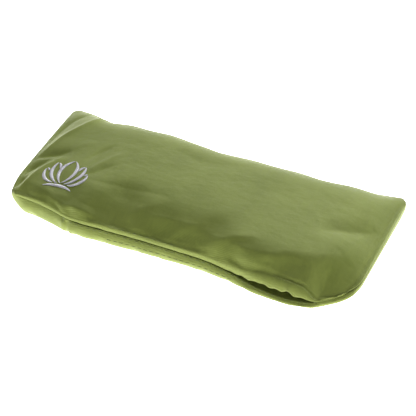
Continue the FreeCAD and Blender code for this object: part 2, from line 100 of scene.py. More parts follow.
def smooth(x, low, high):
    """0 at low, 1 at high, with a soft change between them."""
    s = np.clip((x - low) / (high - low), 0, 1)
    return s * s * (3 - 2 * s)


def rise(distance, width, power):
    """A share that leaves 0 at an edge with a slope of power / width and is level at 1 from the width on."""
    return 1 - (1 - np.clip(distance / width, 0, 1)) ** power


def belly(distance, width, power=2.4):
    """A share from 0 to 1 that leaves the edge at a right angle."""
    return (1 - (1 - np.clip(distance / width, 0, 1)) ** power) ** (1 / power)


def bump(distance, width):
    return np.exp(-((distance / width) ** 2))


def ripple(x, seed, pitch, count=5):
    """Uneven waves of a height of about 1, made of a few sines."""
    draw = np.random.default_rng(seed)
    waves = [np.sin(x / pitch * draw.uniform(0.6, 1.7) + draw.uniform(0, 6.28)) for _ in range(count)]
    return sum(waves) / count**0.5


# ---------------- the cover's outline
# The front is the line of the lips. The back is drawn in along its middle, where the filling pulls the seam.
front_y = curve(
    (-111, -40.5), (-100, -42), (-88, -43.4), (-78, -45.4), (-68, -47.6), (-58, -48.6), (-42, -48),
    (-20, -47), (18, -46.6), (38, -48.2), (56, -51), (76, -51.6), (90, -49.6), (98, -47), (111, -43),
)
back_y = curve(
    (-111, 50), (-100, 50.4), (-82, 49), (-60, 48.6), (-44, 48.4), (-25, 46.6), (-3, 44.6), (30, 45.8),
    (62, 46), (88, 48.4), (111, 50),
)
back_z = curve((-111, 13), (-60, 12), (40, 11.5), (80, 12.2), (111, 15))
lower_lip_z = curve(
    (-111, 12), (-95, 12.2), (-78, 12), (-60, 11.2), (-42, 11), (0, 10.3), (20, 9.8), (35, 8.7), (48, 7.3),
    (58, 5.8), (70, 4.8), (82, 4.8), (92, 5.2), (100, 5.6), (111, 7),
)
lip_gap = curve(
    (-66, 0), (-60, 0.7), (-48, 0.8), (-34, 0.5), (0, 0.5), (30, 0.7), (42, 1.2), (50, 2.4), (58, 3.6),
    (66, 4.2), (75, 4.2), (84, 2.6), (MOUTH_RIGHT - 1, 0),
)
# The crest is where the slope behind the hem ends: how far behind the lips it is, and its height.
crest_width = curve(
    (-111, 40), (-86, 34), (-64, 25), (-46, 18), (-30, 13), (-14, 9), (4, 9.5), (16, 9.5), (30, 8),
    (46, 8.5), (60, 12), (74, 19), (90, 24), (111, 32),
)
crest_z = curve(
    (-111, 17.5), (-86, 19.2), (-60, 22.6), (-38, 24.3), (-10, TOP), (30, TOP), (60, 24.4), (86, 22.5),
    (111, 20),
)
# Shares of the rise: in the slope behind the hem, and at the left in the narrow shoulder before it.
near_share = curve(
    (-60, 0.4), (-30, 0.62), (-6, 0.7), (10, 0.66), (30, 0.78), (56, 0.78), (70, 0.7), (84, 0.7)
)
shoulder = curve((-64, 0.6), (-40, 0.1))
# How far the front slope levels out at the hem, from 0 to 1.
flare = curve((-60, 0.1), (-28, 0.3), (-6, 0.8), (12, 0.5), (28, 0), (60, 0), (78, 0.6), (90, 0.9))
hem_height = curve(
    (-108, 0.5), (-98, 2.2), (-85, 3.2), (-72, 2.6), (-62, 2.6), (-40, 3.2), (0, 3.2), (24, 4.0),
    (48, 5.4), (64, 6.0), (83, 5.7), (94, 0.8), (101, 0.4),
)
# How far the hem leans back, as a share of its height.
hem_lean = curve((-60, 0.3), (10, 0.25), (40, 0.25), (64, 0.6), (88, 0.7))
CORNER_RADII = {
    ("left", "front"): 3,
    ("right", "front"): 21,
    ("left", "back"): 4.5,
    ("right", "back"): 5,
}
HEM_SHARE = 0.05  # f runs from minus this to 0 over the hem
WALL = 9  # plan width of the cloth that forms the front wall
WALL_FOOT = 3  # how far the wall's foot is behind the lips
WALL_SWELL = 2.2  # how far the wall swells in front of the lips
END_SLOPE = 30  # how far the fall towards each end reaches
BACK_SLOPE = 26  # how far the fall towards the back reaches
CROWN = 46  # how far the gentle crown of the top reaches in from the lips
LIP_WAVE = 0.17  # how uneven the upper lip's edge is, as a share of the gap under it
END_STEP, BACK_STEP = 0.08, 0.06  # shares of the rise that come right at the ends' and the back's seam
LEFT_DRAW, RIGHT_DRAW = 3.6, 0.2  # how far the two ends draw in towards the front


def side_edges(y):
    """X of the left and right edges, which draw in towards the front."""
    left_edge = -HALF_LENGTH + LEFT_DRAW * smooth(-y, 18, 46) ** 1.5
    return left_edge, HALF_LENGTH - RIGHT_DRAW * smooth(-y, 0, 30)


def edge_distances(x, y):
    """How far a plan point is from the left, right, front and back edges, before the corners are rounded."""
    left_edge, right_edge = side_edges(y)
    return {"left": x - left_edge, "right": right_edge - x, "front": y - front_y(x), "back": back_y(x) - y}


def rounded_corners(away, radii):
    """Shifts in X and Y that round an outline's corners, from the distances to its edges."""
    shift_x, shift_y = 0, 0
    for (side, end), radius in radii.items():
        p = np.clip(1 - away[side] / radius, 0, 1)
        q = np.clip(1 - away[end] / radius, 0, 1)
        inward_x = radius * p * (1 - np.sqrt(1 - q * q / 2))
        inward_y = radius * q * (1 - np.sqrt(1 - p * p / 2))
        shift_x = shift_x + (inward_x if side == "left" else -inward_x)
        shift_y = shift_y + (inward_y if end == "front" else -inward_y)
    return shift_x, shift_y


def plan(u, f):
    """Plan position of a cover point and its distances to the edges.
    u runs from -1 to 1 along the cover, and f from 0 at the lips to 1 at the back."""
    along = HALF_LENGTH * u
    y = front_y(along) * (1 - f) + back_y(along) * f
    left_edge, right_edge = side_edges(y)
    x = left_edge + (right_edge - left_edge) * (u + 1) / 2
    y = front_y(x) * (1 - f) + back_y(x) * f
    away = edge_distances(x, y)
    shift_x, shift_y = rounded_corners(away, CORNER_RADII)
    return x + shift_x, y + shift_y, away


def xyz(*values):
    """Points, from their coordinates."""
    return np.stack(np.broadcast_arrays(*values), axis=-1)


def circle(count):
    """Evenly spaced angles round a circle."""
    return np.arange(count) * 2 * np.pi / count


def fold(x, y, points, height, left, right, power=1.3):
    """A ridge, or a valley if its height is negative, along a line of plan points. It dies away at its ends.
    left and right are its widths on the two sides of the line."""
    points = np.array(points, float)
    lengths = np.hypot(*(points[1:] - points[:-1]).T)
    total = np.zeros_like(x)
    done = 0.0
    for start, end, length in zip(points[:-1], points[1:], lengths):
        direction = (end - start) / length
        s = np.clip((x - start[0]) * direction[0] + (y - start[1]) * direction[1], 0, length)
        away_x, away_y = x - start[0] - s * direction[0], y - start[1] - s * direction[1]
        side = direction[0] * away_y - direction[1] * away_x
        width = right + (left - right) * smooth(side, -0.6, 0.6)
        place = (done + s) / lengths.sum()
        fade = np.sin(np.pi * (0.05 + 0.9 * place)) ** 0.7
        gap = np.sqrt(away_x**2 + away_y**2 + 0.25)
        total = np.maximum(total, fade * np.exp(-((gap / width) ** power)))
        done += length
    return height * total


# Each fold of the top panel: its line, its height and its widths to the left and right of the line.
TOP_FOLDS = [
    ([(-80, 50), (-86, 43), (-94, 28), (-102, 15), (-105, 6), (-108.5, -3)], 1.9, 3.2, 1.6),  # corner flap
    ([(-96, 46), (-104, 34), (-108, 22), (-109, 10)], -1.6, 3.5, 3.5),  # hollow of the flap
    ([(-108, -7), (-101, -4), (-96, -2), (-89, 2)], -3.0, 4, 3.5),  # hollow inside the ridge
    ([(-90, 3), (-84, 10), (-76, 14)], 0.6, 4, 4),
    ([(-110, -9), (-103, -7.5), (-98, -6.8), (-91, -8)], 0.9, 2.2, 2.2),
    ([(-111, -23), (-106.5, -17.7), (-103, -13), (-98, -10)], -2.8, 3, 3.2),  # valley from the left edge
    ([(-106, -46), (-103.6, -36), (-101.4, -28), (-99, -21), (-96, -14), (-91, -7)], 2.3, 1.8, 3.2),
    ([(-108.5, -40), (-107.5, -32), (-104.5, -25)], -2.2, 2.2, 2.2),
    ([(-71, -18), (-69, -13.5), (-66, -7), (-62, 0), (-57, 8)], 0.9, 1.6, 2.4),  # beside the embroidery
    ([(-75, -4), (-72.5, 1.5), (-70, 6), (-66, 12)], -1.0, 1.8, 2.4),
    ([(-68, -18), (-64.5, -14.5), (-61.5, -10), (-57, -5)], -1.2, 2, 2.8),
    ([(-64, -22), (-40, -21), (-12, -20)], -0.5, 2.5, 4),  # long faint valley
    ([(-70, -36), (-63, -40), (-52, -42), (-38, -42)], -0.7, 5, 4),  # shade behind the left half of the mouth
    ([(-96, -35), (-84, -39), (-72, -39)], 0.7, 5, 4),
    ([(84, -36), (94, -30), (102, -18)], -1.0, 9, 6),  # shaded hollow inside the rounded corner
    ([(-36, -46), (-26, -35), (-14, -26)], 0.8, 5, 4),  # slanting swells across the front slope
    ([(-4, -46), (5, -37), (18, -30)], 0.9, 5, 4),
    ([(26, -47), (34, -38), (48, -31)], 0.8, 5, 4),
    ([(78, -8), (94, 1), (107, 11)], -2.3, 7, 6),
    ([(-40, 26), (-10, 18), (30, 27)], -0.6, 9, 8),
    ([(96, 34), (100, 10), (98, -14)], 0.5, 5, 4),
]


def edge_rise(distance, step, width):
    """A share that jumps by the step at a sewn edge and then climbs slowly to 1 over the width."""
    return step * rise(distance, 1.4, 2) + (1 - step) * rise(distance - 1.0, width, 3.0)


def top_point(u, f):
    """A point of the top panel's outer face. f is below 0 on the hem, a strip that stands on the lip."""
    x, y, away = plan(u, np.maximum(f, 0))
    front, back, left, right = away["front"], away["back"], away["left"], away["right"]
    up_hem = np.clip(1 + f / HEM_SHARE, 0, 1)
    upper_lip = lower_lip_z(x) + lip_gap(x) * (1 + LIP_WAVE * (1 - up_hem) * ripple(x, 3, 1.7))
    flat_f = np.maximum(f, 0)
    base = (upper_lip + hem_height(x)) * (1 - flat_f) + back_z(x) * flat_f
    width = crest_width(x)
    near = (1 - flare(x)) * rise(front, width, 2) + flare(x) * smooth(front, 3, width + 3)
    slope = near_share(x) * near + (1 - near_share(x)) * rise(front, CROWN, 2)
    level = shoulder(x) * rise(front, 4, 2) + (1 - shoulder(x)) * rise(front, width, 1.6)
    slope = slope + (level - slope) * smooth(-x, 38, 60)
    height = (crest_z(x) - base) * slope * edge_rise(back, BACK_STEP, BACK_SLOPE)
    z = base + height * edge_rise(left, END_STEP, END_SLOPE) * edge_rise(right, END_STEP, END_SLOPE)
    inside = smooth(front, 1, 9) * smooth(back, 0.5, 6) * smooth(left, 0.5, 5) * smooth(right, 1, 9)
    for line, *shape in TOP_FOLDS:
        z = z + inside * fold(x, y, line, *shape)
    z = z + 0.5 * bump(back - 5, 4) * ripple(x, 11, 7.5) * smooth(left, 5, 25) * smooth(right, 5, 25)
    groove = 0.7 + 0.8 * smooth(x, 30, 50)
    z = z - groove * bump(front - 1.3, 1.2) * smooth(left, 4, 12) * smooth(right, 16, 24)
    edge = np.where(x > MOUTH_RIGHT, np.minimum(right, front), right)
    z = z + (0.5 * bump(edge - 0.9, 0.7) - 0.4 * bump(edge - 2.7, 1.1)) * smooth(back, 4, 14)
    on_hem = f < 0
    z = np.where(on_hem, upper_lip + hem_height(x) * up_hem, z)
    lean = hem_lean(x) * hem_height(x)
    y = y + lean * np.where(on_hem, up_hem, 1 - smooth(front, 0, 20))
    y = y - on_hem * 0.1 * hem_height(x) * np.sin(np.pi * up_hem)
    return x, y, z


def bottom_point(u, f):
    """A point of the bottom panel's outer face. Its front wall stands under the lips and swells in front."""
    x, y, away = plan(u, f)
    front, back, left, right = away["front"], away["back"], away["left"], away["right"]
    base = lower_lip_z(x) * (1 - f) + back_z(x) * f
    down = np.clip(front / WALL, 0, 1) * np.pi / 2
    front_share = np.sin(down)
    left_share = belly(left, 9 + 15 * smooth(y, -40, -10), 2)
    share = front_share * belly(back, 16, 2.2) * left_share * belly(right, 16, 2)
    z = base * (1 - share)
    ends = smooth(left, -1, 12) * smooth(right, 0, 26)
    foot = WALL_FOOT * (1 - np.cos(down)) ** 1.5 - WALL_SWELL * np.sin(np.pi * front_share)
    beyond = (WALL_FOOT - WALL) * (1 - smooth(front, WALL, WALL + 25))
    y = y + ends * np.where(front < WALL, foot - front, beyond)
    swell = 4 * share * (1 - share)
    y = y - (1 - ends) * 1.7 * swell * bump(front, 12) + 1.0 * swell * bump(back, 12)
    x = x - 0.6 * swell * bump(left, 12) + 1.8 * swell * bump(right, 12)
    near = smooth(front_share, 0.03, 0.2) * smooth(-front, -WALL, -WALL / 2)
    y = y - near * (0.5 * bump(x - MOUTH_LEFT, 1.2) - 0.7 * bump(x - MOUTH_LEFT - 3, 1.2))
    y = y - near * 1.5 * bump(x - MOUTH_LEFT - 5.2, 1.1) * front_share**2
    return x, y, np.maximum(z, 0)


# ---------------- mesh building
TUBE_TIP = 0.35  # a tube's width at its ends, as a share of its width


def add_object(name, data):
    thing = bpy.data.objects.new(name, data)
    bpy.context.scene.collection.objects.link(thing)
    return thing


def mesh_object(name, points, faces):
    """An object with a smooth-shaded mesh. Its faces are lists of point numbers."""
    mesh = bpy.data.meshes.new(name)
    mesh.from_pydata((np.reshape(points, (-1, 3)) * MM).tolist(), [], faces)
    mesh.polygons.foreach_set("use_smooth", np.ones(len(mesh.polygons), bool))
    mesh.update()
    return add_object(name, mesh)


def grid_faces(rows, columns, first=0, flip=False, closed=False):
    """The quads of a grid of points numbered from the first, joined round its rows if it is closed."""
    index = np.arange(rows * columns).reshape(rows, columns) + first
    if closed:
        index = np.concatenate([index, index[:, :1]], axis=1)
    quads = np.stack([index[:-1, :-1], index[:-1, 1:], index[1:, 1:], index[1:, :-1]], axis=-1).reshape(-1, 4)
    return (quads[:, ::-1] if flip else quads).tolist()


def capped_faces(rings, sides, first):
    """The faces of a closed form made of rings of points numbered from the first, with a cap at each end."""
    last = first + (rings - 1) * sides
    caps = [list(range(first, first + sides))[::-1], list(range(last, last + sides))]
    return grid_faces(rings, sides, first, closed=True) + caps


def thicken(sheet, thickness, offset=-1):
    """Gives a sheet its thickness, and makes its modifiers part of its mesh."""
    cloth = sheet.modifiers.new("cloth", "SOLIDIFY")
    cloth.thickness = thickness * MM
    cloth.offset = offset
    bpy.context.view_layer.update()
    final = bpy.data.meshes.new_from_object(sheet.evaluated_get(bpy.context.evaluated_depsgraph_get()))
    sheet.modifiers.clear()
    sheet.data = final
    return sheet


def sheet_object(name, grid, thickness, flip=False, levels=1):
    """A cloth sheet through a grid of points, with its thickness on the inside."""
    rows, columns = grid.shape[:2]
    sheet = mesh_object(name, grid, grid_faces(rows, columns, flip=flip))
    if levels:
        finer = sheet.modifiers.new("finer", "SUBSURF")
        finer.levels = finer.render_levels = levels
        finer.boundary_smooth = "PRESERVE_CORNERS"
    return thicken(sheet, thickness)


def unit(vectors):
    return vectors / np.maximum(np.linalg.norm(vectors, axis=-1, keepdims=True), 1e-9)


def tube_object(name, paths, ups, width, height, sides=6):
    """One object of many closed tubes. paths and ups have the shape (tube, step, 3), and each
    cross-section is an ellipse of that width and height, which narrows at the first and last steps."""
    paths, ups = np.asarray(paths), np.asarray(ups)
    count, steps = paths.shape[:2]
    along = unit(np.gradient(paths, axis=1))
    across = unit(np.cross(along, ups))
    over = np.cross(across, along)
    angles = circle(sides)[:, None]
    taper = np.ones((steps, 1, 1))
    taper[0] = taper[-1] = TUBE_TIP
    ring = (
        np.cos(angles) * across[:, :, None, :] * width / 2
        + np.sin(angles) * over[:, :, None, :] * height / 2
    )
    points = paths[:, :, None, :] + ring * taper
    faces = [face for tube in range(count) for face in capped_faces(steps, sides, tube * steps * sides)]
    return mesh_object(name, points, faces)


def lengths_along(line):
    """How far along a line each of its points is."""
    return np.concatenate([[0], np.cumsum(np.linalg.norm(np.diff(line, axis=0), axis=1))])


def at_lengths(wanted, along, values):
    """Values of a line, such as its points or its normals, at the wanted lengths along it."""
    return np.stack([np.interp(wanted, along, values[:, k]) for k in range(3)], axis=-1)


def moved_inward(line, inset, turn):
    """A line moved sideways in plan, to its right if turn is 1 and to its left if it is -1."""
    direction = unit(np.gradient(line, axis=0) * [1, 1, 0])
    inward = xyz(turn * direction[:, 1], -turn * direction[:, 0], 0)
    return line + inward * inset


def sample(grid, u_axis, f_axis, u, f):
    """Points of a grid at given u and f, and the grid's unit normals there."""

    def at(u, f):
        i = np.clip(np.searchsorted(u_axis, u) - 1, 0, len(u_axis) - 2)
        j = np.clip(np.searchsorted(f_axis, f) - 1, 0, len(f_axis) - 2)
        s = ((u - u_axis[i]) / (u_axis[i + 1] - u_axis[i]))[..., None]
        t = ((f - f_axis[j]) / (f_axis[j + 1] - f_axis[j]))[..., None]
        low = grid[j, i] * (1 - s) + grid[j, i + 1] * s
        high = grid[j + 1, i] * (1 - s) + grid[j + 1, i + 1] * s
        return low * (1 - t) + high * t

    u, f = np.broadcast_arrays(np.asarray(u, float), np.asarray(f, float))
    small = 0.002
    along = at(np.minimum(u + small, 1), f) - at(np.maximum(u - small, -1), f)
    inward = at(u, np.minimum(f + small, 1)) - at(u, np.maximum(f - small, 0))
    return at(u, f), unit(np.cross(along, inward))


# ---------------- the cover's cloth
COLUMNS, ROWS = 221, 111
HEM_ROWS = 6
U_AXIS = 0.3 * -np.cos(np.linspace(0, np.pi, COLUMNS)) + 0.7 * np.linspace(-1, 1, COLUMNS)
F_AXIS = 0.85 * (1 - np.cos(np.linspace(0, np.pi, ROWS))) / 2 + 0.15 * np.linspace(0, 1, ROWS)
TOP_F_AXIS = np.concatenate([np.linspace(-HEM_SHARE, 0, HEM_ROWS, endpoint=False), F_AXIS])
CLOTH = 0.35  # thickness of the satin
ON_TABLE = 0.3  # the bottom panel is held where it is lower than this
SLACK = 0.012  # how much more cloth there is than the form needs
BENDING = 6  # the simulated satin's stiffness against bending
PRESSURE = 3.0  # of the filling on the simulated satin
SETTLING_STEPS = 20
CLOTH_CAP = 1.8  # the furthest that the simulation may move a point


def joined_panels(top, bottom):
    """The points and quads of both panels as one sheet joined along the seams, each point's place in it,
    and the points that the settling leaves where they are."""
    rows, columns = bottom.shape[:2]
    hem_rows = len(top) - rows
    upper = np.arange(top[..., 0].size).reshape(-1, columns)
    lower = np.arange(rows * columns).reshape(rows, columns) + upper.size
    sewn = np.zeros((rows, columns), bool)
    sewn[-1, :] = sewn[:, 0] = sewn[:, -1] = True
    sewn[0, :] = (top[0, :, 0] < MOUTH_LEFT) | (top[0, :, 0] > MOUTH_RIGHT)
    partner = upper[hem_rows:].copy()
    partner[0] = upper[0]
    shared = np.concatenate([upper.ravel(), np.where(sewn, partner, lower).ravel()])
    faces = np.array(grid_faces(len(top), columns) + grid_faces(rows, columns, upper.size, flip=True))
    held = [upper[: hem_rows + 2].ravel(), lower[:4].ravel(), lower[bottom[..., 2] < ON_TABLE]]
    points = np.concatenate([top.reshape(-1, 3), bottom.reshape(-1, 3)])
    return points, shared[faces].tolist(), shared, np.unique(shared[np.concatenate(held)]).tolist()


def simulate(points, faces, held):
    """Points after the sheet has settled as cloth under a light pressure from inside."""
    cloth = mesh_object("settling", points, faces)
    pins = cloth.vertex_groups.new(name="pins")
    pins.add(held, 1.0, "REPLACE")
    cloth.modifiers.new("cloth", "CLOTH")
    settings = cloth.modifiers["cloth"].settings
    settings.quality = 7
    settings.mass = 0.2
    settings.tension_stiffness = settings.compression_stiffness = 12
    settings.shear_stiffness = 6
    settings.bending_stiffness = BENDING
    settings.air_damping = 2
    settings.use_pressure = True
    settings.uniform_pressure_force = PRESSURE
    settings.shrink_min = -SLACK
    settings.vertex_group_mass = "pins"
    settings.effector_weights.gravity = 0
    cloth.modifiers["cloth"].collision_settings.use_self_collision = False
    scene = bpy.context.scene
    for step in range(1, SETTLING_STEPS + 1):
        scene.frame_set(step)
    settled = cloth.evaluated_get(bpy.context.evaluated_depsgraph_get()).data
    end = np.zeros(len(settled.vertices) * 3)
    settled.vertices.foreach_get("co", end)
    bpy.data.objects.remove(cloth)
    scene.frame_set(1)
    return end.reshape(-1, 3) / MM


def refined(coarse, rounds):
    """A grid of shifts with a point added between each two, softened while its border keeps to its line."""
    rows, columns = coarse.shape[:2]
    fine = np.zeros((2 * rows - 1, 2 * columns - 1, 3))
    fine[::2, ::2] = coarse
    fine[1::2, ::2] = (coarse[1:] + coarse[:-1]) / 2
    fine[:, 1::2] = (fine[:, 2::2] + fine[:, :-2:2]) / 2
    for _ in range(rounds):
        fine[:, 1:-1] = (fine[:, :-2] + 2 * fine[:, 1:-1] + fine[:, 2:]) / 4
        fine[1:-1] = (fine[:-2] + 2 * fine[1:-1] + fine[2:]) / 4
    return fine


def settle_cloth(top, bottom):
    """Lets the two panels settle as cloth over the filling, and returns them.
    A little more cloth than the form needs makes the small folds, and no point moves further than the cap."""
    coarse_top, coarse_bottom = top[::2, ::2], bottom[::2, ::2]
    points, faces, shared, held = joined_panels(coarse_top, coarse_bottom)
    moved = (simulate(points, faces, held) - points)[shared]
    length = np.linalg.norm(moved, axis=1, keepdims=True)
    moved *= CLOTH_CAP * np.tanh(length / CLOTH_CAP) / np.maximum(length, 1e-6)
    count = coarse_top[..., 0].size
    top = top + refined(moved[:count].reshape(coarse_top.shape), 3)
    bottom = bottom + refined(moved[count:].reshape(coarse_bottom.shape), 3)
    top[..., 2], bottom[..., 2] = np.maximum(top[..., 2], 0), np.maximum(bottom[..., 2], 0)
    return top, bottom


def turned_hem(grid, side):
    """The cloth that turns in behind a lip, as rows of points that go before the panel's own rows."""
    turned = []
    for inward, lift in ((6.0, 0.9), (4.2, 0.7), (2.2, 0.5), (0.9, 0.3), (0.35, 0.1)):
        turned.append(grid[0] + [0, inward, side * lift])
    return np.array(turned)


def build_cover():
    top = xyz(*top_point(*np.meshgrid(U_AXIS, TOP_F_AXIS)))
    bottom = xyz(*bottom_point(*np.meshgrid(U_AXIS, F_AXIS)))
    top, bottom = settle_cloth(top, bottom)
    top_sheet = sheet_object("cover_top", np.concatenate([turned_hem(top, 1), top]), CLOTH)
    bottom_rows = np.concatenate([turned_hem(bottom, -1), bottom])
    bottom_sheet = sheet_object("cover_bottom", bottom_rows, CLOTH, flip=True)
    return top, bottom, top_sheet, bottom_sheet


# ---------------- places on the cover
def u_at(x, y):
    """The u of a plan point of the cover."""
    left_edge, right_edge = side_edges(y)
    return 2 * (x - left_edge) / (right_edge - left_edge) - 1


def upper_side(x, f):
    """Points of the top panel's outer face and its normals, at an X and an f."""
    return sample(top_grid, U_AXIS, TOP_F_AXIS, u_at(x, front_y(x)), f)


def lower_side(x, f):
    """Points of the bottom panel's outer face and its outward normals, at an X and an f."""
    points, normals = sample(bottom_grid, U_AXIS, F_AXIS, u_at(x, front_y(x)), f)
    return points, -normals


def surface_tree(grid):
    rows, columns = grid.shape[:2]
    return BVHTree.FromPolygons(grid.reshape(-1, 3).tolist(), grid_faces(rows, columns))


FAR_ABOVE = 100  # where the rays that find the surface start


def drop_on(tree, x, y):
    """The highest points of a surface above plan points, and its normals there."""
    points, normals = [], []
    for px, py in zip(np.ravel(x), np.ravel(y)):
        hit, normal, _, _ = tree.ray_cast(Vector((px, py, FAR_ABOVE)), Vector((0, 0, -1)))
        points.append(hit if hit is not None else Vector((px, py, SEAM)))
        normals.append(normal if normal is not None else Vector((0, 0, 1)))
    points, normals = np.array(points), np.array(normals)
    normals = normals * np.sign(normals[:, 2:] + 1e-9)
    return points.reshape(*np.shape(x), 3), normals.reshape(*np.shape(x), 3)


# ---------------- stitches
THREAD = 0.38
STITCH, STITCH_PITCH = 3.0, 3.9
STITCH_ARCH, STITCH_SINK = 0.3, 0.12  # how high a stitch arches, and how deep its ends go into the cloth
TACK_WIDTH, TACK_PITCH, TACK_THREAD, TACK_BULGE = 1.5, 0.3, 0.34, 0.45
SEAM_INSET = 3.4  # from the sewn edge to its row of stitches
SEAM_LIFT = 0.75  # from the middle of the seam to its stitches
TURNING = (0.8, 4.4)  # how far inside the sewn edge a turning starts and ends
TURNING_ROWS, TURNING_CLOTH = 4, 0.15
LIPS_Y = -45  # about where the ends of the mouth are
LEG_SAMPLES = (30, 70, 150, 70, 20)  # front left of the mouth, left, back, right, front right of the mouth
SEAM_SAMPLES = 400


def stitch_row(points, normals):
    """Paths and ups of a row of stitches along a line. Each is a low arch whose ends are in the cloth."""
    along = lengths_along(points)
    starts = np.arange(0.3, along[-1] - STITCH, STITCH_PITCH)
    shape = np.linspace(0, 1, 6)
    places = starts[:, None] + shape[None, :] * STITCH
    lift = STITCH_ARCH * np.sin(np.pi * shape) ** 0.5 - STITCH_SINK
    up = unit(at_lengths(places, along, normals))
    return at_lengths(places, along, points) + up * lift[None, :, None], up


def stitching(name, rows, width=THREAD):
    """One object of several rows of stitches, each given as points and normals."""
    paths, ups = zip(*(stitch_row(*row) for row in rows))
    return tube_object(name, np.concatenate(paths), np.concatenate(ups), width, 0.7 * width)


def lip_stitching(name, upper, row, depth):
    """A row of stitches between two X along a lip, at a depth from the lip's edge, on the face that shows."""
    x = np.arange(*row, 0.5)
    if upper:
        line = upper_side(x, -HEM_SHARE * np.clip(1 - depth / hem_height(x), 0, 1))
    else:
        line = lower_side(x, depth / (back_y(x) - front_y(x)))
    return stitching(name, [line])


def bar_tacks():
    """A dense zigzag of thread across the lips at each end of the mouth."""
    paths, ups = [], []
    span = np.linspace(0, 1, 9)
    for x in (MOUTH_LEFT + 0.2, MOUTH_RIGHT - 1.6):
        for offset in np.arange(0, TACK_WIDTH, TACK_PITCH):
            above, normal = upper_side(np.array([x + offset]), -HEM_SHARE * 0.35)
            below, _ = lower_side(np.array([x + offset]), 0.012)
            line = below + (above - below) * span[:, None]
            out = np.broadcast_to(unit(normal * [1, 1, 0.2]), line.shape)
            paths.append(line + out * (TACK_BULGE * np.sin(np.pi * span)[:, None] ** 0.5))
            ups.append(out)
    return tube_object("mouth_bar_tack_threads", paths, ups, TACK_THREAD, TACK_THREAD)


def seam_route(inset):
    """The sewn edge of the cover, inset towards its middle: from one end of the mouth round to the other."""
    start, end = u_at(MOUTH_LEFT - 1, LIPS_Y), u_at(MOUTH_RIGHT + 1, LIPS_Y)
    stops = [(start, 0), (-1, 0), (-1, 1), (1, 1), (1, 0), (end, 0)]
    legs = [np.linspace(*leg) for leg in zip(stops[:-1], stops[1:], LEG_SAMPLES)]
    edge, _ = sample(bottom_grid, U_AXIS, F_AXIS, *np.concatenate(legs).T)
    edge = edge[np.diff(lengths_along(edge), prepend=-1) > 0.05]
    along = lengths_along(edge)
    return moved_inward(at_lengths(np.linspace(0, along[-1], SEAM_SAMPLES), along, edge), inset, 1)


def seam_turnings():
    """The two turnings inside the cover, pressed open along its sewn edges."""
    near, far = seam_route(TURNING[0]), seam_route(TURNING[1])
    strips = []
    for side in (1, -1):
        for share in np.linspace(0, 1, TURNING_ROWS):
            strips.append(near + (far - near) * share + [0, 0, side * (0.2 + 0.25 * share)])
    faces = grid_faces(TURNING_ROWS, SEAM_SAMPLES)
    faces += grid_faces(TURNING_ROWS, SEAM_SAMPLES, TURNING_ROWS * SEAM_SAMPLES, flip=True)
    return thicken(mesh_object("seam_turnings", strips, faces), TURNING_CLOTH)


def seam_stitches():
    line = seam_route(SEAM_INSET)
    up = np.broadcast_to([0.0, 0.0, 1.0], line.shape)
    return stitching("cover_seam_stitches", [(line + up * SEAM_LIFT, up), (line - up * SEAM_LIFT, -up)])


# ---------------- closure tapes
TAPE_FRONT, TAPE_WIDTH = 0.9, 7.3  # a tape starts this far behind its lip
TAPE_ROWS, TAPE_COLUMNS = 8, 90
TAPE_CLOTH = 0.35
FROM_SLIT = 0.62  # how far a tape's base is from the middle of the slit where the lips lie together
PILE_THREAD = 0.14
PILE_SPREAD = 0.15  # how far a loop or hook stands from its even place, at most


def tape_sheet(name, upper):
    """The woven base of one tape, behind its lip."""
    x = np.linspace(tape_low.x, tape_high.x, TAPE_COLUMNS)
    side = 1 if upper else -1
    slit = lower_lip_z(x) + lip_gap(x) / 2
    rows = []
    for inward in np.linspace(TAPE_FRONT, TAPE_FRONT + TAPE_WIDTH, TAPE_ROWS):
        from_slit = lip_gap(x) / 2 * smooth(-inward, -4, 0) + FROM_SLIT
        rows.append(xyz(x, front_y(x) + inward, slit + side * from_slit))
    rows = np.array(rows)
    return rows, sheet_object(name, rows, -TAPE_CLOTH * side, flip=not upper, levels=0)


def tape_pile(name, rows, upper):
    """The loops or hooks that stand on a tape: small arches, or stems with a bent tip."""
    draw = np.random.default_rng(21 if upper else 22)
    side = -1 if upper else 1
    length = tape_high.x - tape_low.x
    span = np.linspace(0, 1, 5)
    if upper:
        arch = xyz(0.5 * span, 0.25 * span, side * 0.5 * np.sin(np.pi * span))
    else:
        arch = xyz(0.1 * span, 0.4 * span**3, side * 0.5 * np.sin(0.6 * np.pi * span))
    paths = []
    for across in np.arange(0.6, 6.7, 0.62):
        for along in np.arange(0.8, length - 0.8, 0.95):
            spread = draw.uniform(-PILE_SPREAD, PILE_SPREAD, 3)
            row, column = across / TAPE_WIDTH * (TAPE_ROWS - 1), along / length * (TAPE_COLUMNS - 1)
            paths.append(rows[int(row), int(column)] + spread * [1, 1, 0] + arch)
    ups = np.broadcast_to([0.1, 1.0, 0.0], np.shape(paths))
    return tube_object(name, paths, ups, PILE_THREAD, PILE_THREAD, sides=4)


# ---------------- embroidery
# The strokes repeat the CAD's lotus: two tips, and the bulges of the outer and inner edges to the left of the
# way from the first tip to the second, in 29ths of the lotus's width. The other half is their mirror image.
PETAL_STROKES = [
    ((-0.5, -7.6), (-0.5, 12.8), 5.4, 3.6),
    ((-2.6, -8.2), (-9.6, 8.6), 4.5, 2.7),
    ((-8.7, 8.7), (-6.6, 4.6), 1.3, 0.1),
    ((-5.2, -8.6), (-14.0, 1.4), 4.0, 2.3),
    ((-13.3, 2.4), (-11.9, 0.9), 0.7, -0.2),
]
BASE_STROKE = ((9.2, -12.4), (-9.2, -12.4), -3.2, -1.5)
LOTUS_HALF_WIDTH, LOTUS_FOOT = 14.5, 12.6  # from the lotus's own middle to its side and its foot
SATIN_PITCH = 0.34
SATIN_THREAD = (0.4, 0.3)  # width and height of a thread of the satin stitch
UNDER_SATIN, FELT = 0.5, 0.22  # the stabiliser's depth under the satin's outer face, and its thickness


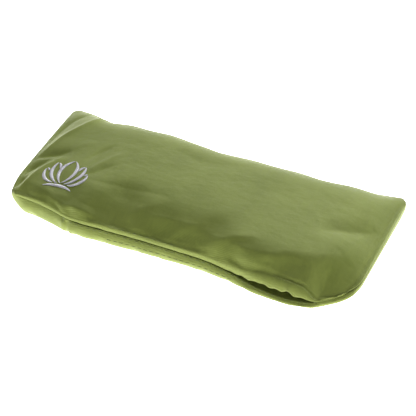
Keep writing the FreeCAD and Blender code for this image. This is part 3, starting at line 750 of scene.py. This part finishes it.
def arc_points(first, second, bulge, share):
    """Points of the circular arc between two tips, with share running from -1 to 1."""
    first, second = np.array(first), np.array(second)
    chord = second - first
    length = np.hypot(*chord)
    along = chord / length
    left = np.array([-along[1], along[0]])
    radius = (length**2 / 4 + bulge**2) / (2 * abs(bulge))
    half_turn = math.asin(min(1, length / 2 / radius))
    s = radius * np.sin(half_turn * share)
    h = math.copysign(1, bulge) * (radius * np.cos(half_turn * share) - radius + abs(bulge))
    return (first + second) / 2 + s[:, None] * along + h[:, None] * left


def stroke_threads(stroke, centre, size, draw):
    """Plan lines of the satin stitches that fill one stroke: each crosses it at a slant, edge to edge."""
    first, second, outer, inner = stroke
    middle_line = arc_points(first, second, (outer + inner) / 2, np.linspace(-1, 1, 40))
    count = int(lengths_along(middle_line)[-1] * size / SATIN_PITCH)
    share = (np.arange(count) + 0.5) / count * 2 - 1
    slant = 1.6 / count
    jitter = draw.normal(0, 0.25 / count, (2, count))
    outer_edge = arc_points(first, second, outer, np.clip(share - slant + jitter[0], -0.995, 0.995))
    inner_edge = arc_points(first, second, inner, np.clip(share + slant + jitter[1], -0.995, 0.995))
    middle = (outer_edge + inner_edge) / 2
    half = (outer_edge - inner_edge) / 2
    reach = np.linalg.norm(half, axis=1, keepdims=True)
    half = half / np.maximum(reach, 1e-6) * np.maximum(reach + 0.3 + draw.normal(0, 0.04, (count, 1)), 0.45)
    return (middle + half) * size + centre, (middle - half) * size + centre


def lotus_threads():
    """The lotus in satin stitch, every thread laid over the cover's surface."""
    draw = np.random.default_rng(5)
    size = (lotus_high.x - lotus_low.x) / (2 * LOTUS_HALF_WIDTH)
    centre = np.array([(lotus_low.x + lotus_high.x) / 2, lotus_low.y + LOTUS_FOOT * size])
    strokes = [BASE_STROKE]
    for first, second, *bulges in PETAL_STROKES:
        mirrored = (-second[0], second[1]), (-first[0], first[1])
        strokes += [(first, second, *bulges), (*mirrored, *bulges)]
    start, end = np.concatenate([stroke_threads(stroke, centre, size, draw) for stroke in strokes], axis=1)
    span = np.linspace(0, 1, 7)
    flat = start[:, None, :] + (end - start)[:, None, :] * span[None, :, None]
    width = np.linalg.norm(end - start, axis=1)
    points, normals = drop_on(cover_tree, flat[..., 0], flat[..., 1])
    lift = np.sin(np.pi * span) ** 0.6 * (0.28 + 0.16 * np.clip(width, 0, 2.4))[:, None] - 0.06
    lift = lift + draw.normal(0, 0.02, (len(width), 1))
    return tube_object("lotus_threads", points + normals * lift[..., None], normals, *SATIN_THREAD)


def backing_patch():
    """The round stabiliser behind the embroidery, against the satin's inside."""
    radius = (backing_high.x - backing_low.x) / 2
    centre = (backing_low + backing_high) / 2
    turns, rings = 48, 12
    angle = circle(turns)
    reach = radius * np.linspace(0.04, 1, rings)[:, None] * (1 + 0.01 * np.sin(9 * angle))[None, :]
    x, y = centre.x + reach * np.cos(angle), centre.y + reach * np.sin(angle)
    points, normals = drop_on(cover_tree, x, y)
    faces = grid_faces(rings, turns, closed=True) + [list(range(turns))[::-1]]
    patch = mesh_object("embroidery_stabiliser", points - normals * UNDER_SATIN, faces)
    return thicken(patch, FELT, offset=1), math.pi * (radius * MM) ** 2


# ---------------- the inner bag
BAG_COLUMNS, BAG_ROWS = 120, 60
BAG_HALF_LENGTH = (bag_high.x - bag_low.x) / 2 - 1
BAG_CLOTH = 0.4
BAG_FLANGE = 3.0
BAG_SEAM_INSET = 1.3
WHIP_PITCH, WHIP_THREAD = 2.1, (0.45, 0.4)
WHIP_SLANT, WHIP_HALF_HEIGHT = 1.3, 0.55
WHIP_INSET, WHIP_REACH = 2.2, 2.6  # where a whipstitch enters the flange, and how far it comes out from there
BAG_THREAD = 0.42
BAG_WAIST = 0.016  # how far the bag's ends draw in halfway along its width, as a share of its length
BAG_UNDER_COVER, LOWER_UNDER_COVER = 1.4, 2.0  # how far the bag's upper and lower faces keep below the cover
BAG_OVER_FLOOR = 0.75  # the least height of its lower face
BAG_BOTTOM = 1.1  # the height of its lower face where nothing is in the way
BAG_HALF_GAP = 0.3  # from the seam's height to each face, at the flange
BEHIND_BAG = 5.3  # from the bag's back edge to the cover's
# Corner radii. The large one is where the cover comes down low.
BAG_RADII = {
    ("left", "front"): 9.0,
    ("left", "back"): 9.0,
    ("right", "front"): 19.0,
    ("right", "back"): 9.0,
}
bag_front_y = curve((-104, -36), (-60, -38), (0, -37.6), (50, -38.4), (104, -35))
BAG_AXES = (
    -np.cos(np.linspace(0, np.pi, BAG_COLUMNS)) * 0.5 + np.linspace(-1, 1, BAG_COLUMNS) * 0.5,
    (1 - np.cos(np.linspace(0, np.pi, BAG_ROWS))) / 2,
)


def bag_back_y(x):
    return np.minimum(back_y(x) - BEHIND_BAG, bag_high.y)


def bag_plan(inset):
    """Plan positions of the bag's grid and their distances to its edge, for an outline that is inset."""
    u, f = np.meshgrid(*BAG_AXES)
    x = (BAG_HALF_LENGTH - inset) * u
    low, high = bag_front_y(x) + inset, bag_back_y(x) - inset
    x = x * (1 - BAG_WAIST * np.sin(np.pi * f))
    y = low * (1 - f) + high * f
    left, right = x + BAG_HALF_LENGTH - inset, BAG_HALF_LENGTH - inset - x
    away = {"left": left, "right": right, "front": y - low, "back": high - y}
    shift_x, shift_y = rounded_corners(away, BAG_RADII)
    return x + shift_x, y + shift_y, np.minimum(left, right), np.minimum(away["front"], away["back"])


def bag_face(upper, inset, shrink, rounds):
    """The grid of one face of the bag, or of the fill with an inset, kept clear of the cover around it
    and smoothed in a few rounds."""
    x, y, ends, sides = bag_plan(inset)
    flange = max(BAG_FLANGE - inset, 0)
    ends, sides = ends - flange, sides - flange
    if upper:
        share = belly(ends, 34, 2.2) * belly(sides, 30, 2.2)
    else:
        share = belly(ends, 22, 2.0) * belly(sides, 16, 2.2)
    inside = smooth(np.minimum(ends, sides), 0, 3)
    pucker = 0.55 * bump(sides - 3, 4) * ripple(x, 31, 3.4) + 0.55 * bump(ends - 3, 4) * ripple(y, 32, 3.2)
    reach = bag_high.z - SEAM if upper else SEAM - BAG_BOTTOM
    z = BAG_HALF_GAP + (reach - BAG_HALF_GAP - shrink) * share
    z = z + inside * share * (pucker + 0.35 * ripple(x + 2 * y, 33, 9))
    z = SEAM + z if upper else SEAM - z
    if inset:
        closed = BAG_HALF_GAP * (1 - inside)
        z = z - closed if upper else z + closed
    limit, _ = drop_on(cover_tree, x, y)
    if upper:
        z = np.minimum(z, limit[..., 2] - BAG_UNDER_COVER - shrink)
    else:
        z = np.minimum(np.maximum(z, BAG_OVER_FLOOR + shrink), limit[..., 2] - LOWER_UNDER_COVER - shrink)
    for _ in range(rounds):
        around = (z[:-2, 1:-1] + z[2:, 1:-1] + z[1:-1, :-2] + z[1:-1, 2:]) / 4
        z[1:-1, 1:-1] = 0.5 * z[1:-1, 1:-1] + 0.5 * around
    return xyz(x, y, z)


def bag_stitches(upper, lower):
    """The seam round the bag's flange, seen from above and from below."""
    rows = []
    for grid, side in ((upper, 1.0), (lower, -1.0)):
        ring = np.concatenate([grid[0, :], grid[1:, -1], grid[-1, -2::-1], grid[-2::-1, 0]])
        line = moved_inward(ring, BAG_SEAM_INSET, -1) + [0, 0, side * 0.02]
        rows.append((line, np.broadcast_to([0.0, 0.0, side], line.shape)))
    return stitching("inner_bag_stitches", rows, BAG_THREAD)


def closing_stitches():
    """The hand-sewn whipstitches that close the bag after filling, over the edge of its front flange."""
    span = np.linspace(0, 1, 9)
    turn = np.pi * span
    paths, ups = [], []
    for place in np.arange(closing_low.x, closing_high.x, WHIP_PITCH):
        y = bag_front_y(place) + WHIP_INSET - WHIP_REACH * np.sin(turn)
        paths.append(xyz(place + WHIP_SLANT * span, y, SEAM + WHIP_HALF_HEIGHT * np.cos(turn)))
        ups.append(xyz(0, -np.sin(turn), np.cos(turn)))
    return tube_object("inner_closing_stitches", paths, ups, *WHIP_THREAD)


# ---------------- the fill
FILL_INSET = BAG_FLANGE + 1.6
FILL_SHRINK = 1.5  # from the bag's faces to the seed
SEEDS_PER_FACE = 1100
SEED_HALF_LENGTH, SEED_HALF_WIDTH, SEED_RISE = 2.1, 1.05, 0.32
SEED_SIDES = 8


def seed_fill():
    """The poured seed: one closed form, with single seeds that stand out of its surface."""
    upper = bag_face(True, FILL_INSET, FILL_SHRINK, 4)
    lower = bag_face(False, FILL_INSET, FILL_SHRINK, 4)
    rows, columns = upper.shape[:2]
    lower[0], lower[-1], lower[:, 0], lower[:, -1] = upper[0], upper[-1], upper[:, 0], upper[:, -1]
    count = rows * columns
    faces = grid_faces(rows, columns) + grid_faces(rows, columns, count, flip=True)
    points = [*upper.reshape(-1, 3), *lower.reshape(-1, 3)]
    draw = np.random.default_rng(41)
    angle = circle(SEED_SIDES)
    oval = xyz(SEED_HALF_LENGTH * np.cos(angle), SEED_HALF_WIDTH * np.sin(angle), 0)
    for grid, side in ((upper, 1), (lower, -1)):
        for _ in range(SEEDS_PER_FACE):
            row, column = draw.integers(8, rows - 8), draw.integers(10, columns - 10)
            turn = draw.uniform(0, np.pi)
            cos, sin = math.cos(turn), math.sin(turn)
            ring = oval @ [[cos, sin, 0], [-sin, cos, 0], [0, 0, 1]]
            base = grid[row, column] + [draw.uniform(-0.8, 0.8), draw.uniform(-0.5, 0.5), 0]
            faces += [face[::side] for face in capped_faces(2, SEED_SIDES, len(points))]
            points += [*(ring + base), *(ring * 0.6 + [0, 0, side * SEED_RISE] + base)]
    return mesh_object("flax_seeds", points, faces)


def separate_solids(node):
    """The points of each separate solid of a CAD node."""
    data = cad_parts[node].data
    points = np.array([vertex.co for vertex in data.vertices]) / MM
    place = np.unique(np.round(points, 3), axis=0, return_inverse=True)[1].ravel()
    start, end = place[np.array([edge.vertices for edge in data.edges])].T
    label, before = np.arange(len(points)), None
    while before is None or (label != before).any():
        before = label.copy()
        lower = np.minimum(label[start], label[end])
        np.minimum.at(label, start, lower)
        np.minimum.at(label, end, lower)
    return [points[label[place] == number] for number in dict.fromkeys(label[place])]


BUD_RADII = (0.15, 0.7, 1.05, 1.15, 1.0, 0.85, 0.5, 0.1)
BUD_HEIGHTS = (-2.6, -2.2, -1.2, 0.2, 1.3, 2.1, 2.35, 1.6)
TOOTHED = (5, 6)  # the rings of a bud that carry its teeth
BUD_SIDES, BUD_RIBS = 16, 8


def lavender():
    """Dried buds: a ribbed calyx with an open, toothed mouth, on each place that the CAD gives."""
    angle = circle(BUD_SIDES)
    rib = 1 + 0.09 * np.cos(BUD_RIBS * angle)
    points, faces = [], []
    for solid in separate_solids("lavender_buds"):
        middle = (solid.min(0) + solid.max(0)) / 2
        axis = np.linalg.svd(solid - middle, full_matrices=False)[2][0]
        turned = np.array(Vector(axis).to_track_quat("Z", "X").to_matrix()).T
        faces += capped_faces(len(BUD_RADII), BUD_SIDES, len(points) * BUD_SIDES)
        for number, (radius, height) in enumerate(zip(BUD_RADII, BUD_HEIGHTS)):
            teeth = 0.18 * np.cos(BUD_RIBS * angle) * (number in TOOTHED)
            ring = xyz(radius * rib * np.cos(angle), radius * rib * np.sin(angle), height + teeth)
            points.append(ring @ turned + middle)
    return mesh_object("lavender_flower_buds", points, faces)


# ---------------- materials
def finish(name, look=None, **settings):
    """A material whose Principled shader has the settings named in words, spaces written as underscores.
    Its look gives its colour and layers of bump, as (height, distance in metres), each over the last."""
    material = bpy.data.materials.new(name)
    material.use_nodes = True
    tree = material.node_tree
    shader = tree.nodes["Principled BSDF"]
    for key, value in settings.items():
        shader.inputs[key.replace("_", " ")].default_value = value
    if look is None:
        return material
    colour, *layers = look(tree)
    tree.links.new(colour, shader.inputs["Base Color"])
    last = None
    for height, distance in layers:
        made = add_node(tree, "ShaderNodeBump", strength=1.0, distance=distance)
        tree.links.new(height, made.inputs["Height"])
        if last is not None:
            tree.links.new(last, made.inputs["Normal"])
        last = made.outputs["Normal"]
    tree.links.new(last, shader.inputs["Normal"])
    return material


def add_node(tree, kind, **settings):
    """A node of that kind. A setting is an input if the node has one of that name, or else a property."""
    made = tree.nodes.new(kind)
    for key, value in settings.items():
        name = key.replace("_", " ").title()
        if name in made.inputs:
            made.inputs[name].default_value = value
        else:
            setattr(made, key, value)
    return made


def object_place(tree, stretch=(1, 1, 1)):
    """Object coordinates in metres, stretched along the axes."""
    place = tree.nodes.new("ShaderNodeTexCoord")
    mapping = tree.nodes.new("ShaderNodeMapping")
    mapping.inputs["Scale"].default_value = stretch
    tree.links.new(place.outputs["Object"], mapping.inputs["Vector"])
    return mapping.outputs["Vector"]


def noise(tree, scale, stretch=(1, 1, 1), detail=3, roughness=0.5):
    made = add_node(tree, "ShaderNodeTexNoise", scale=scale, detail=detail, roughness=roughness)
    tree.links.new(object_place(tree, stretch), made.inputs["Vector"])
    return made.outputs["Fac"]


def threads(tree, pitch, axis, waver=0.6):
    """Parallel threads at a pitch in metres, across the X or Y axis."""
    wave = add_node(tree, "ShaderNodeTexWave", scale=2 * math.pi / 20 / pitch, distortion=waver, detail=2)
    wave.bands_direction = axis
    wave.inputs["Detail Scale"].default_value = 0.4
    tree.links.new(object_place(tree), wave.inputs["Vector"])
    return wave.outputs["Fac"]


def blend_values(tree, operation, first, second):
    made = tree.nodes.new("ShaderNodeMath")
    made.operation = operation
    for socket, value in zip(made.inputs, (first, second)):
        if isinstance(value, (int, float)):
            socket.default_value = value
        else:
            tree.links.new(value, socket)
    return made.outputs[0]


def ramp(tree, value, *stops):
    """Colours, or greys given as one number, at positions from 0 to 1."""
    made = tree.nodes.new("ShaderNodeValToRGB")
    elements = made.color_ramp.elements
    while len(elements) < len(stops):
        elements.new(0.5)
    for element, (position, colour) in zip(elements, stops):
        element.position = position
        element.color = (*colour, 1) if isinstance(colour, tuple) else (colour, colour, colour, 1)
    tree.links.new(value, made.inputs["Fac"])
    return made.outputs["Color"]


def mix_colours(tree, share, first, second, kind="MIX"):
    made = tree.nodes.new("ShaderNodeMix")
    made.data_type = "RGBA"
    made.blend_type = kind
    sockets = {socket.identifier: socket for socket in made.inputs}
    for key, value in (("Factor_Float", share), ("A_Color", first), ("B_Color", second)):
        if isinstance(value, (int, float)):
            sockets[key].default_value = value
        elif isinstance(value, tuple):
            sockets[key].default_value = (*value, 1)
        else:
            tree.links.new(value, sockets[key])
    return next(socket for socket in made.outputs if socket.identifier == "Result_Color")


def patches(tree, scale, first, second):
    """Two colours in soft patches."""
    return ramp(tree, noise(tree, scale), (0.3, first), (0.7, second))


def satin_look(tree):
    """Green polyester satin: fine warp threads, soft streaks along the weft, and a painted highlight, a paler
    green, on its convex folds and ridges.
    """
    clouds = patches(tree, 38, (0.218, 0.268, 0.047), (0.262, 0.315, 0.062))
    streaks = noise(tree, 260, (2.4, 0.4, 1), detail=4, roughness=0.6)
    streaked = mix_colours(tree, 0.5, clouds, ramp(tree, streaks, (0.25, 0.45), (0.75, 0.57)), "OVERLAY")
    geometry = tree.nodes.new("ShaderNodeNewGeometry")
    # Painted highlight: convex folds and ridges are mixed towards a paler green, which stands in for light
    # catching them.
    ridge_highlight = ramp(tree, geometry.outputs["Pointiness"], (0.5, 0), (0.62, 0.5))
    colour = mix_colours(tree, ridge_highlight, streaked, (0.36, 0.42, 0.14))
    gloss = ramp(tree, streaks, (0.3, 0.44), (0.7, 0.54))
    tree.links.new(gloss, tree.nodes["Principled BSDF"].inputs["Roughness"])
    weave = blend_values(tree, "ADD", threads(tree, 0.00038, "X"), threads(tree, 0.00062, "Y"))
    return colour, (noise(tree, 95, (1, 1.6, 1), detail=4), 0.00035), (weave, 0.00003)


def thread_finish(name, colour, shade, metallic=0.0, roughness=0.45, sheen=0.3):
    """Spun polyester thread, with its ply as a fine slanting bump and slight changes of shade."""

    def look(tree):
        ply = add_node(tree, "ShaderNodeTexWave", scale=900, distortion=1.5, detail=1)
        ply.bands_direction = "DIAGONAL"
        tree.links.new(object_place(tree), ply.inputs["Vector"])
        return patches(tree, 900, shade, colour), (ply.outputs["Fac"], 0.00004)

    return finish(
        name, look, Metallic=metallic, Roughness=roughness, Sheen_Weight=sheen, Sheen_Roughness=0.3
    )


def tape_look(tree):
    """Nylon hook-and-loop tape in a green a little darker than the satin."""
    weave = blend_values(tree, "MULTIPLY", threads(tree, 0.0006, "X"), threads(tree, 0.0006, "Y"))
    return patches(tree, 500, (0.1, 0.13, 0.03), (0.15, 0.19, 0.05)), (weave, 0.00008)


def stabiliser_look(tree):
    """White non-woven stabiliser: tangled fibres, slightly paler and darker in places."""
    fibres = noise(tree, 1400, (1, 0.3, 1), detail=6, roughness=0.8)
    colour = ramp(tree, fibres, (0.3, (0.66, 0.67, 0.64)), (0.7, (0.86, 0.86, 0.83)))
    return colour, (fibres, 0.00012), (noise(tree, 300, detail=2), 0.00015)


def cotton_look(tree):
    """Unbleached plain-weave cotton with darker flecks and uneven yarns."""
    cloth = patches(tree, 60, (0.62, 0.53, 0.38), (0.72, 0.64, 0.49))
    yarns = blend_values(tree, "MULTIPLY", threads(tree, 0.0007, "X", 1.2), threads(tree, 0.0007, "Y", 1.2))
    woven = mix_colours(tree, 0.45, cloth, ramp(tree, yarns, (0.0, 0.38), (0.8, 0.6)), "OVERLAY")
    fibres = noise(tree, 700, (1, 0.25, 1), detail=5, roughness=0.7)
    flecks = ramp(tree, fibres, (0.66, 0), (0.72, 0.7))
    colour = mix_colours(tree, flecks, woven, (0.32, 0.24, 0.14))
    return colour, (noise(tree, 140, detail=4), 0.0004), (yarns, 0.00016)


def seed_look(tree):
    """Brown flax seed: glossy seeds about 4 mm long, each a slightly different brown."""
    cells = add_node(tree, "ShaderNodeTexVoronoi", scale=420)
    tree.links.new(object_place(tree, (1, 0.6, 1)), cells.inputs["Vector"])
    separate = tree.nodes.new("ShaderNodeSeparateColor")
    tree.links.new(cells.outputs["Color"], separate.inputs["Color"])
    browns = (0.0, (0.14, 0.06, 0.025)), (0.6, (0.26, 0.12, 0.05)), (1.0, (0.38, 0.2, 0.09))
    domes = blend_values(tree, "MULTIPLY", cells.outputs["Distance"], -1.0)
    return ramp(tree, separate.outputs[0], *browns), (domes, 0.0008)


def lavender_look(tree):
    """Dried lavender: grey-violet calyx, paler and greener at its base."""
    greys = (0.3, (0.13, 0.11, 0.19)), (0.55, (0.22, 0.19, 0.3)), (0.75, (0.27, 0.28, 0.2))
    colour = ramp(tree, noise(tree, 700, detail=4), *greys)
    return colour, (noise(tree, 2500, (1, 1, 0.2), detail=3), 0.0002)


# ---------------- build
top_grid, bottom_grid, cover_top, cover_bottom = build_cover()
cover_tree = surface_tree(top_grid[HEM_ROWS:])
hem_row, tape_row = (MOUTH_LEFT + 4, MOUTH_RIGHT - 4), (tape_low.x + 1, tape_high.x - 1)
upper_hem = lip_stitching("upper_hem_stitches", True, hem_row, 0.9)
lower_hem = lip_stitching("lower_hem_stitches", False, hem_row, 0.45)
upper_tape_row = lip_stitching("loop_tape_stitches", True, tape_row, 3.1)
lower_tape_row = lip_stitching("hook_tape_stitches", False, tape_row, 2.2)
loop_rows, loop_tape = tape_sheet("loop_tape_base", True)
hook_rows, hook_tape = tape_sheet("hook_tape_base", False)
loops = tape_pile("loop_tape_loops", loop_rows, True)
hooks = tape_pile("hook_tape_hooks", hook_rows, False)
tacks = bar_tacks()
turnings = seam_turnings()
seam = seam_stitches()
lotus = lotus_threads()
patch, patch_area = backing_patch()
bag_upper, bag_lower = bag_face(True, 0, 0, 2), bag_face(False, 0, 0, 2)
bag_top = sheet_object("inner_bag_top", bag_upper, BAG_CLOTH)
bag_bottom = sheet_object("inner_bag_bottom", bag_lower, BAG_CLOTH, flip=True)
bag_seam = bag_stitches(bag_upper, bag_lower)
closing = closing_stitches()
seeds = seed_fill()
buds = lavender()

FINISHES = {
    "satin": finish(
        "green_satin",
        satin_look,
        Metallic=0.25,
        Specular_IOR_Level=0.5,
        Specular_Tint=(1, 1, 0.9, 1),
        Sheen_Weight=0.22,
        Sheen_Roughness=0.4,
        Sheen_Tint=(0.85, 0.95, 0.6, 1),
    ),
    "cover_thread": thread_finish("green_cover_thread", (0.24, 0.29, 0.075), (0.19, 0.235, 0.055)),
    "embroidery_thread": thread_finish(
        "silver_embroidery_thread", (0.95, 0.94, 1.0), (0.88, 0.87, 0.95), 0.65, 0.5, 0.6
    ),
    "cotton_thread": thread_finish(
        "natural_cotton_thread", (0.78, 0.74, 0.64), (0.66, 0.61, 0.5), roughness=0.7
    ),
    "fastener_tape": finish("green_fastener_tape", tape_look, Roughness=0.6, Sheen_Weight=0.2),
    "cotton": finish(
        "natural_cotton", cotton_look, Roughness=0.82, Sheen_Weight=0.25, Sheen_Roughness=0.5
    ),
    "stabiliser": finish("white_stabiliser", stabiliser_look, Roughness=0.85, Sheen_Weight=0.3),
    "flax_seed": finish("brown_flax_seed", seed_look, Roughness=0.32, Coat_Weight=0.3),
    "lavender": finish("dried_lavender", lavender_look, Roughness=0.8, Sheen_Weight=0.4),
}
# The pieces of each body: the object, its material slot and the CAD nodes that it stands for.
PIECES = {
    "cover": [
        (cover_top, "satin", "cover_top_panel"),
        (cover_bottom, "satin", "cover_bottom_panel"),
        (turnings, "satin"),
        (upper_hem, "cover_thread", "upper_hem_stitching"),
        (lower_hem, "cover_thread", "lower_hem_stitching"),
        (upper_tape_row, "cover_thread", "loop_tape_stitching"),
        (lower_tape_row, "cover_thread", "hook_tape_stitching"),
        (tacks, "cover_thread", "mouth_bar_tacks"),
        (seam, "cover_thread", "cover_seam_stitching"),
        (loop_tape, "fastener_tape", "loop_tape"),
        (loops, "fastener_tape", "loop_tape"),
        (hook_tape, "fastener_tape", "hook_tape"),
        (hooks, "fastener_tape", "hook_tape"),
        (lotus, "embroidery_thread", "embroidered_lotus"),
        (patch, "stabiliser", "embroidery_backing"),
    ],
    "inner_pillow": [
        (bag_top, "cotton", "inner_top_panel"),
        (bag_bottom, "cotton", "inner_bottom_panel"),
        (bag_seam, "cotton_thread", "inner_seam_stitching"),
        (closing, "cotton_thread", "inner_closing_stitching"),
        (seeds, "flax_seed", "flax_seed_fill"),
        (buds, "lavender", "lavender_buds"),
    ],
}

for body, body_pieces in PIECES.items():
    for piece, slot, *nodes in body_pieces:
        piece.data.materials.clear()
        piece.data.materials.append(FINISHES[slot])
        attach(piece, body)
        if nodes:
            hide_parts(*nodes)
        if body == "cover":
            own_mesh(piece)


# ---------------- floor, light and camera
def area_light(name, location, target, width, depth, power):
    light = bpy.data.lights.new(name, "AREA")
    light.shape = "RECTANGLE"
    light.size, light.size_y = width, depth
    light.energy = power
    thing = add_object(name, light)
    thing.location = location
    thing.rotation_euler = (Vector(target) - Vector(location)).to_track_quat("-Z", "Y").to_euler()


FLOOR_REACH, FLOOR_DROP = 6000, 0.3  # half of the floor's side, and how far it is under the pillow


def stage():
    corners = [(-1, -1), (1, -1), (1, 1), (-1, 1)]
    corners = [(FLOOR_REACH * x, FLOOR_REACH * y, -FLOOR_DROP) for x, y in corners]
    floor = mesh_object("floor", corners, [(0, 1, 2, 3)])
    white, grey = (1, 1, 1, 1), (0.9, 0.9, 0.9, 1)
    floor.data.materials.append(
        finish("white_floor", Base_Color=grey, Roughness=0.9, Emission_Color=white, Emission_Strength=2.4)
    )
    world = bpy.data.worlds.new("studio")
    world.use_nodes = True
    background = world.node_tree.nodes["Background"].inputs
    background["Color"].default_value = white
    background["Strength"].default_value = 0.26
    bpy.context.scene.world = world
    area_light("back_softbox", (0.05, 1.5, 1.0), (0, 0, 0), 2.2, 1.2, 25)
    area_light("right_softbox", (1.6, 0.6, 0.9), (0, 0, 0), 1.6, 1.0, 1.5)


def camera(azimuth, elevation, distance, lens, target):
    data = bpy.data.cameras.new("camera")
    data.lens = lens
    data.sensor_width = 36
    data.clip_start, data.clip_end = 0.05, 20
    eye = add_object("camera", data)
    turn, tilt = math.radians(azimuth), math.radians(elevation)
    back = Vector((math.sin(turn) * math.cos(tilt), -math.cos(turn) * math.cos(tilt), math.sin(tilt)))
    eye.location = Vector(target) + back * distance
    eye.rotation_euler = (-back).to_track_quat("-Z", "Y").to_euler()
    bpy.context.scene.camera = eye


stage()
camera(azimuth=24.5, elevation=39.5, distance=1.2, lens=173.6, target=(0.0046, -0.0025, 0.0105))
bpy.context.scene.view_settings.view_transform = "Standard"
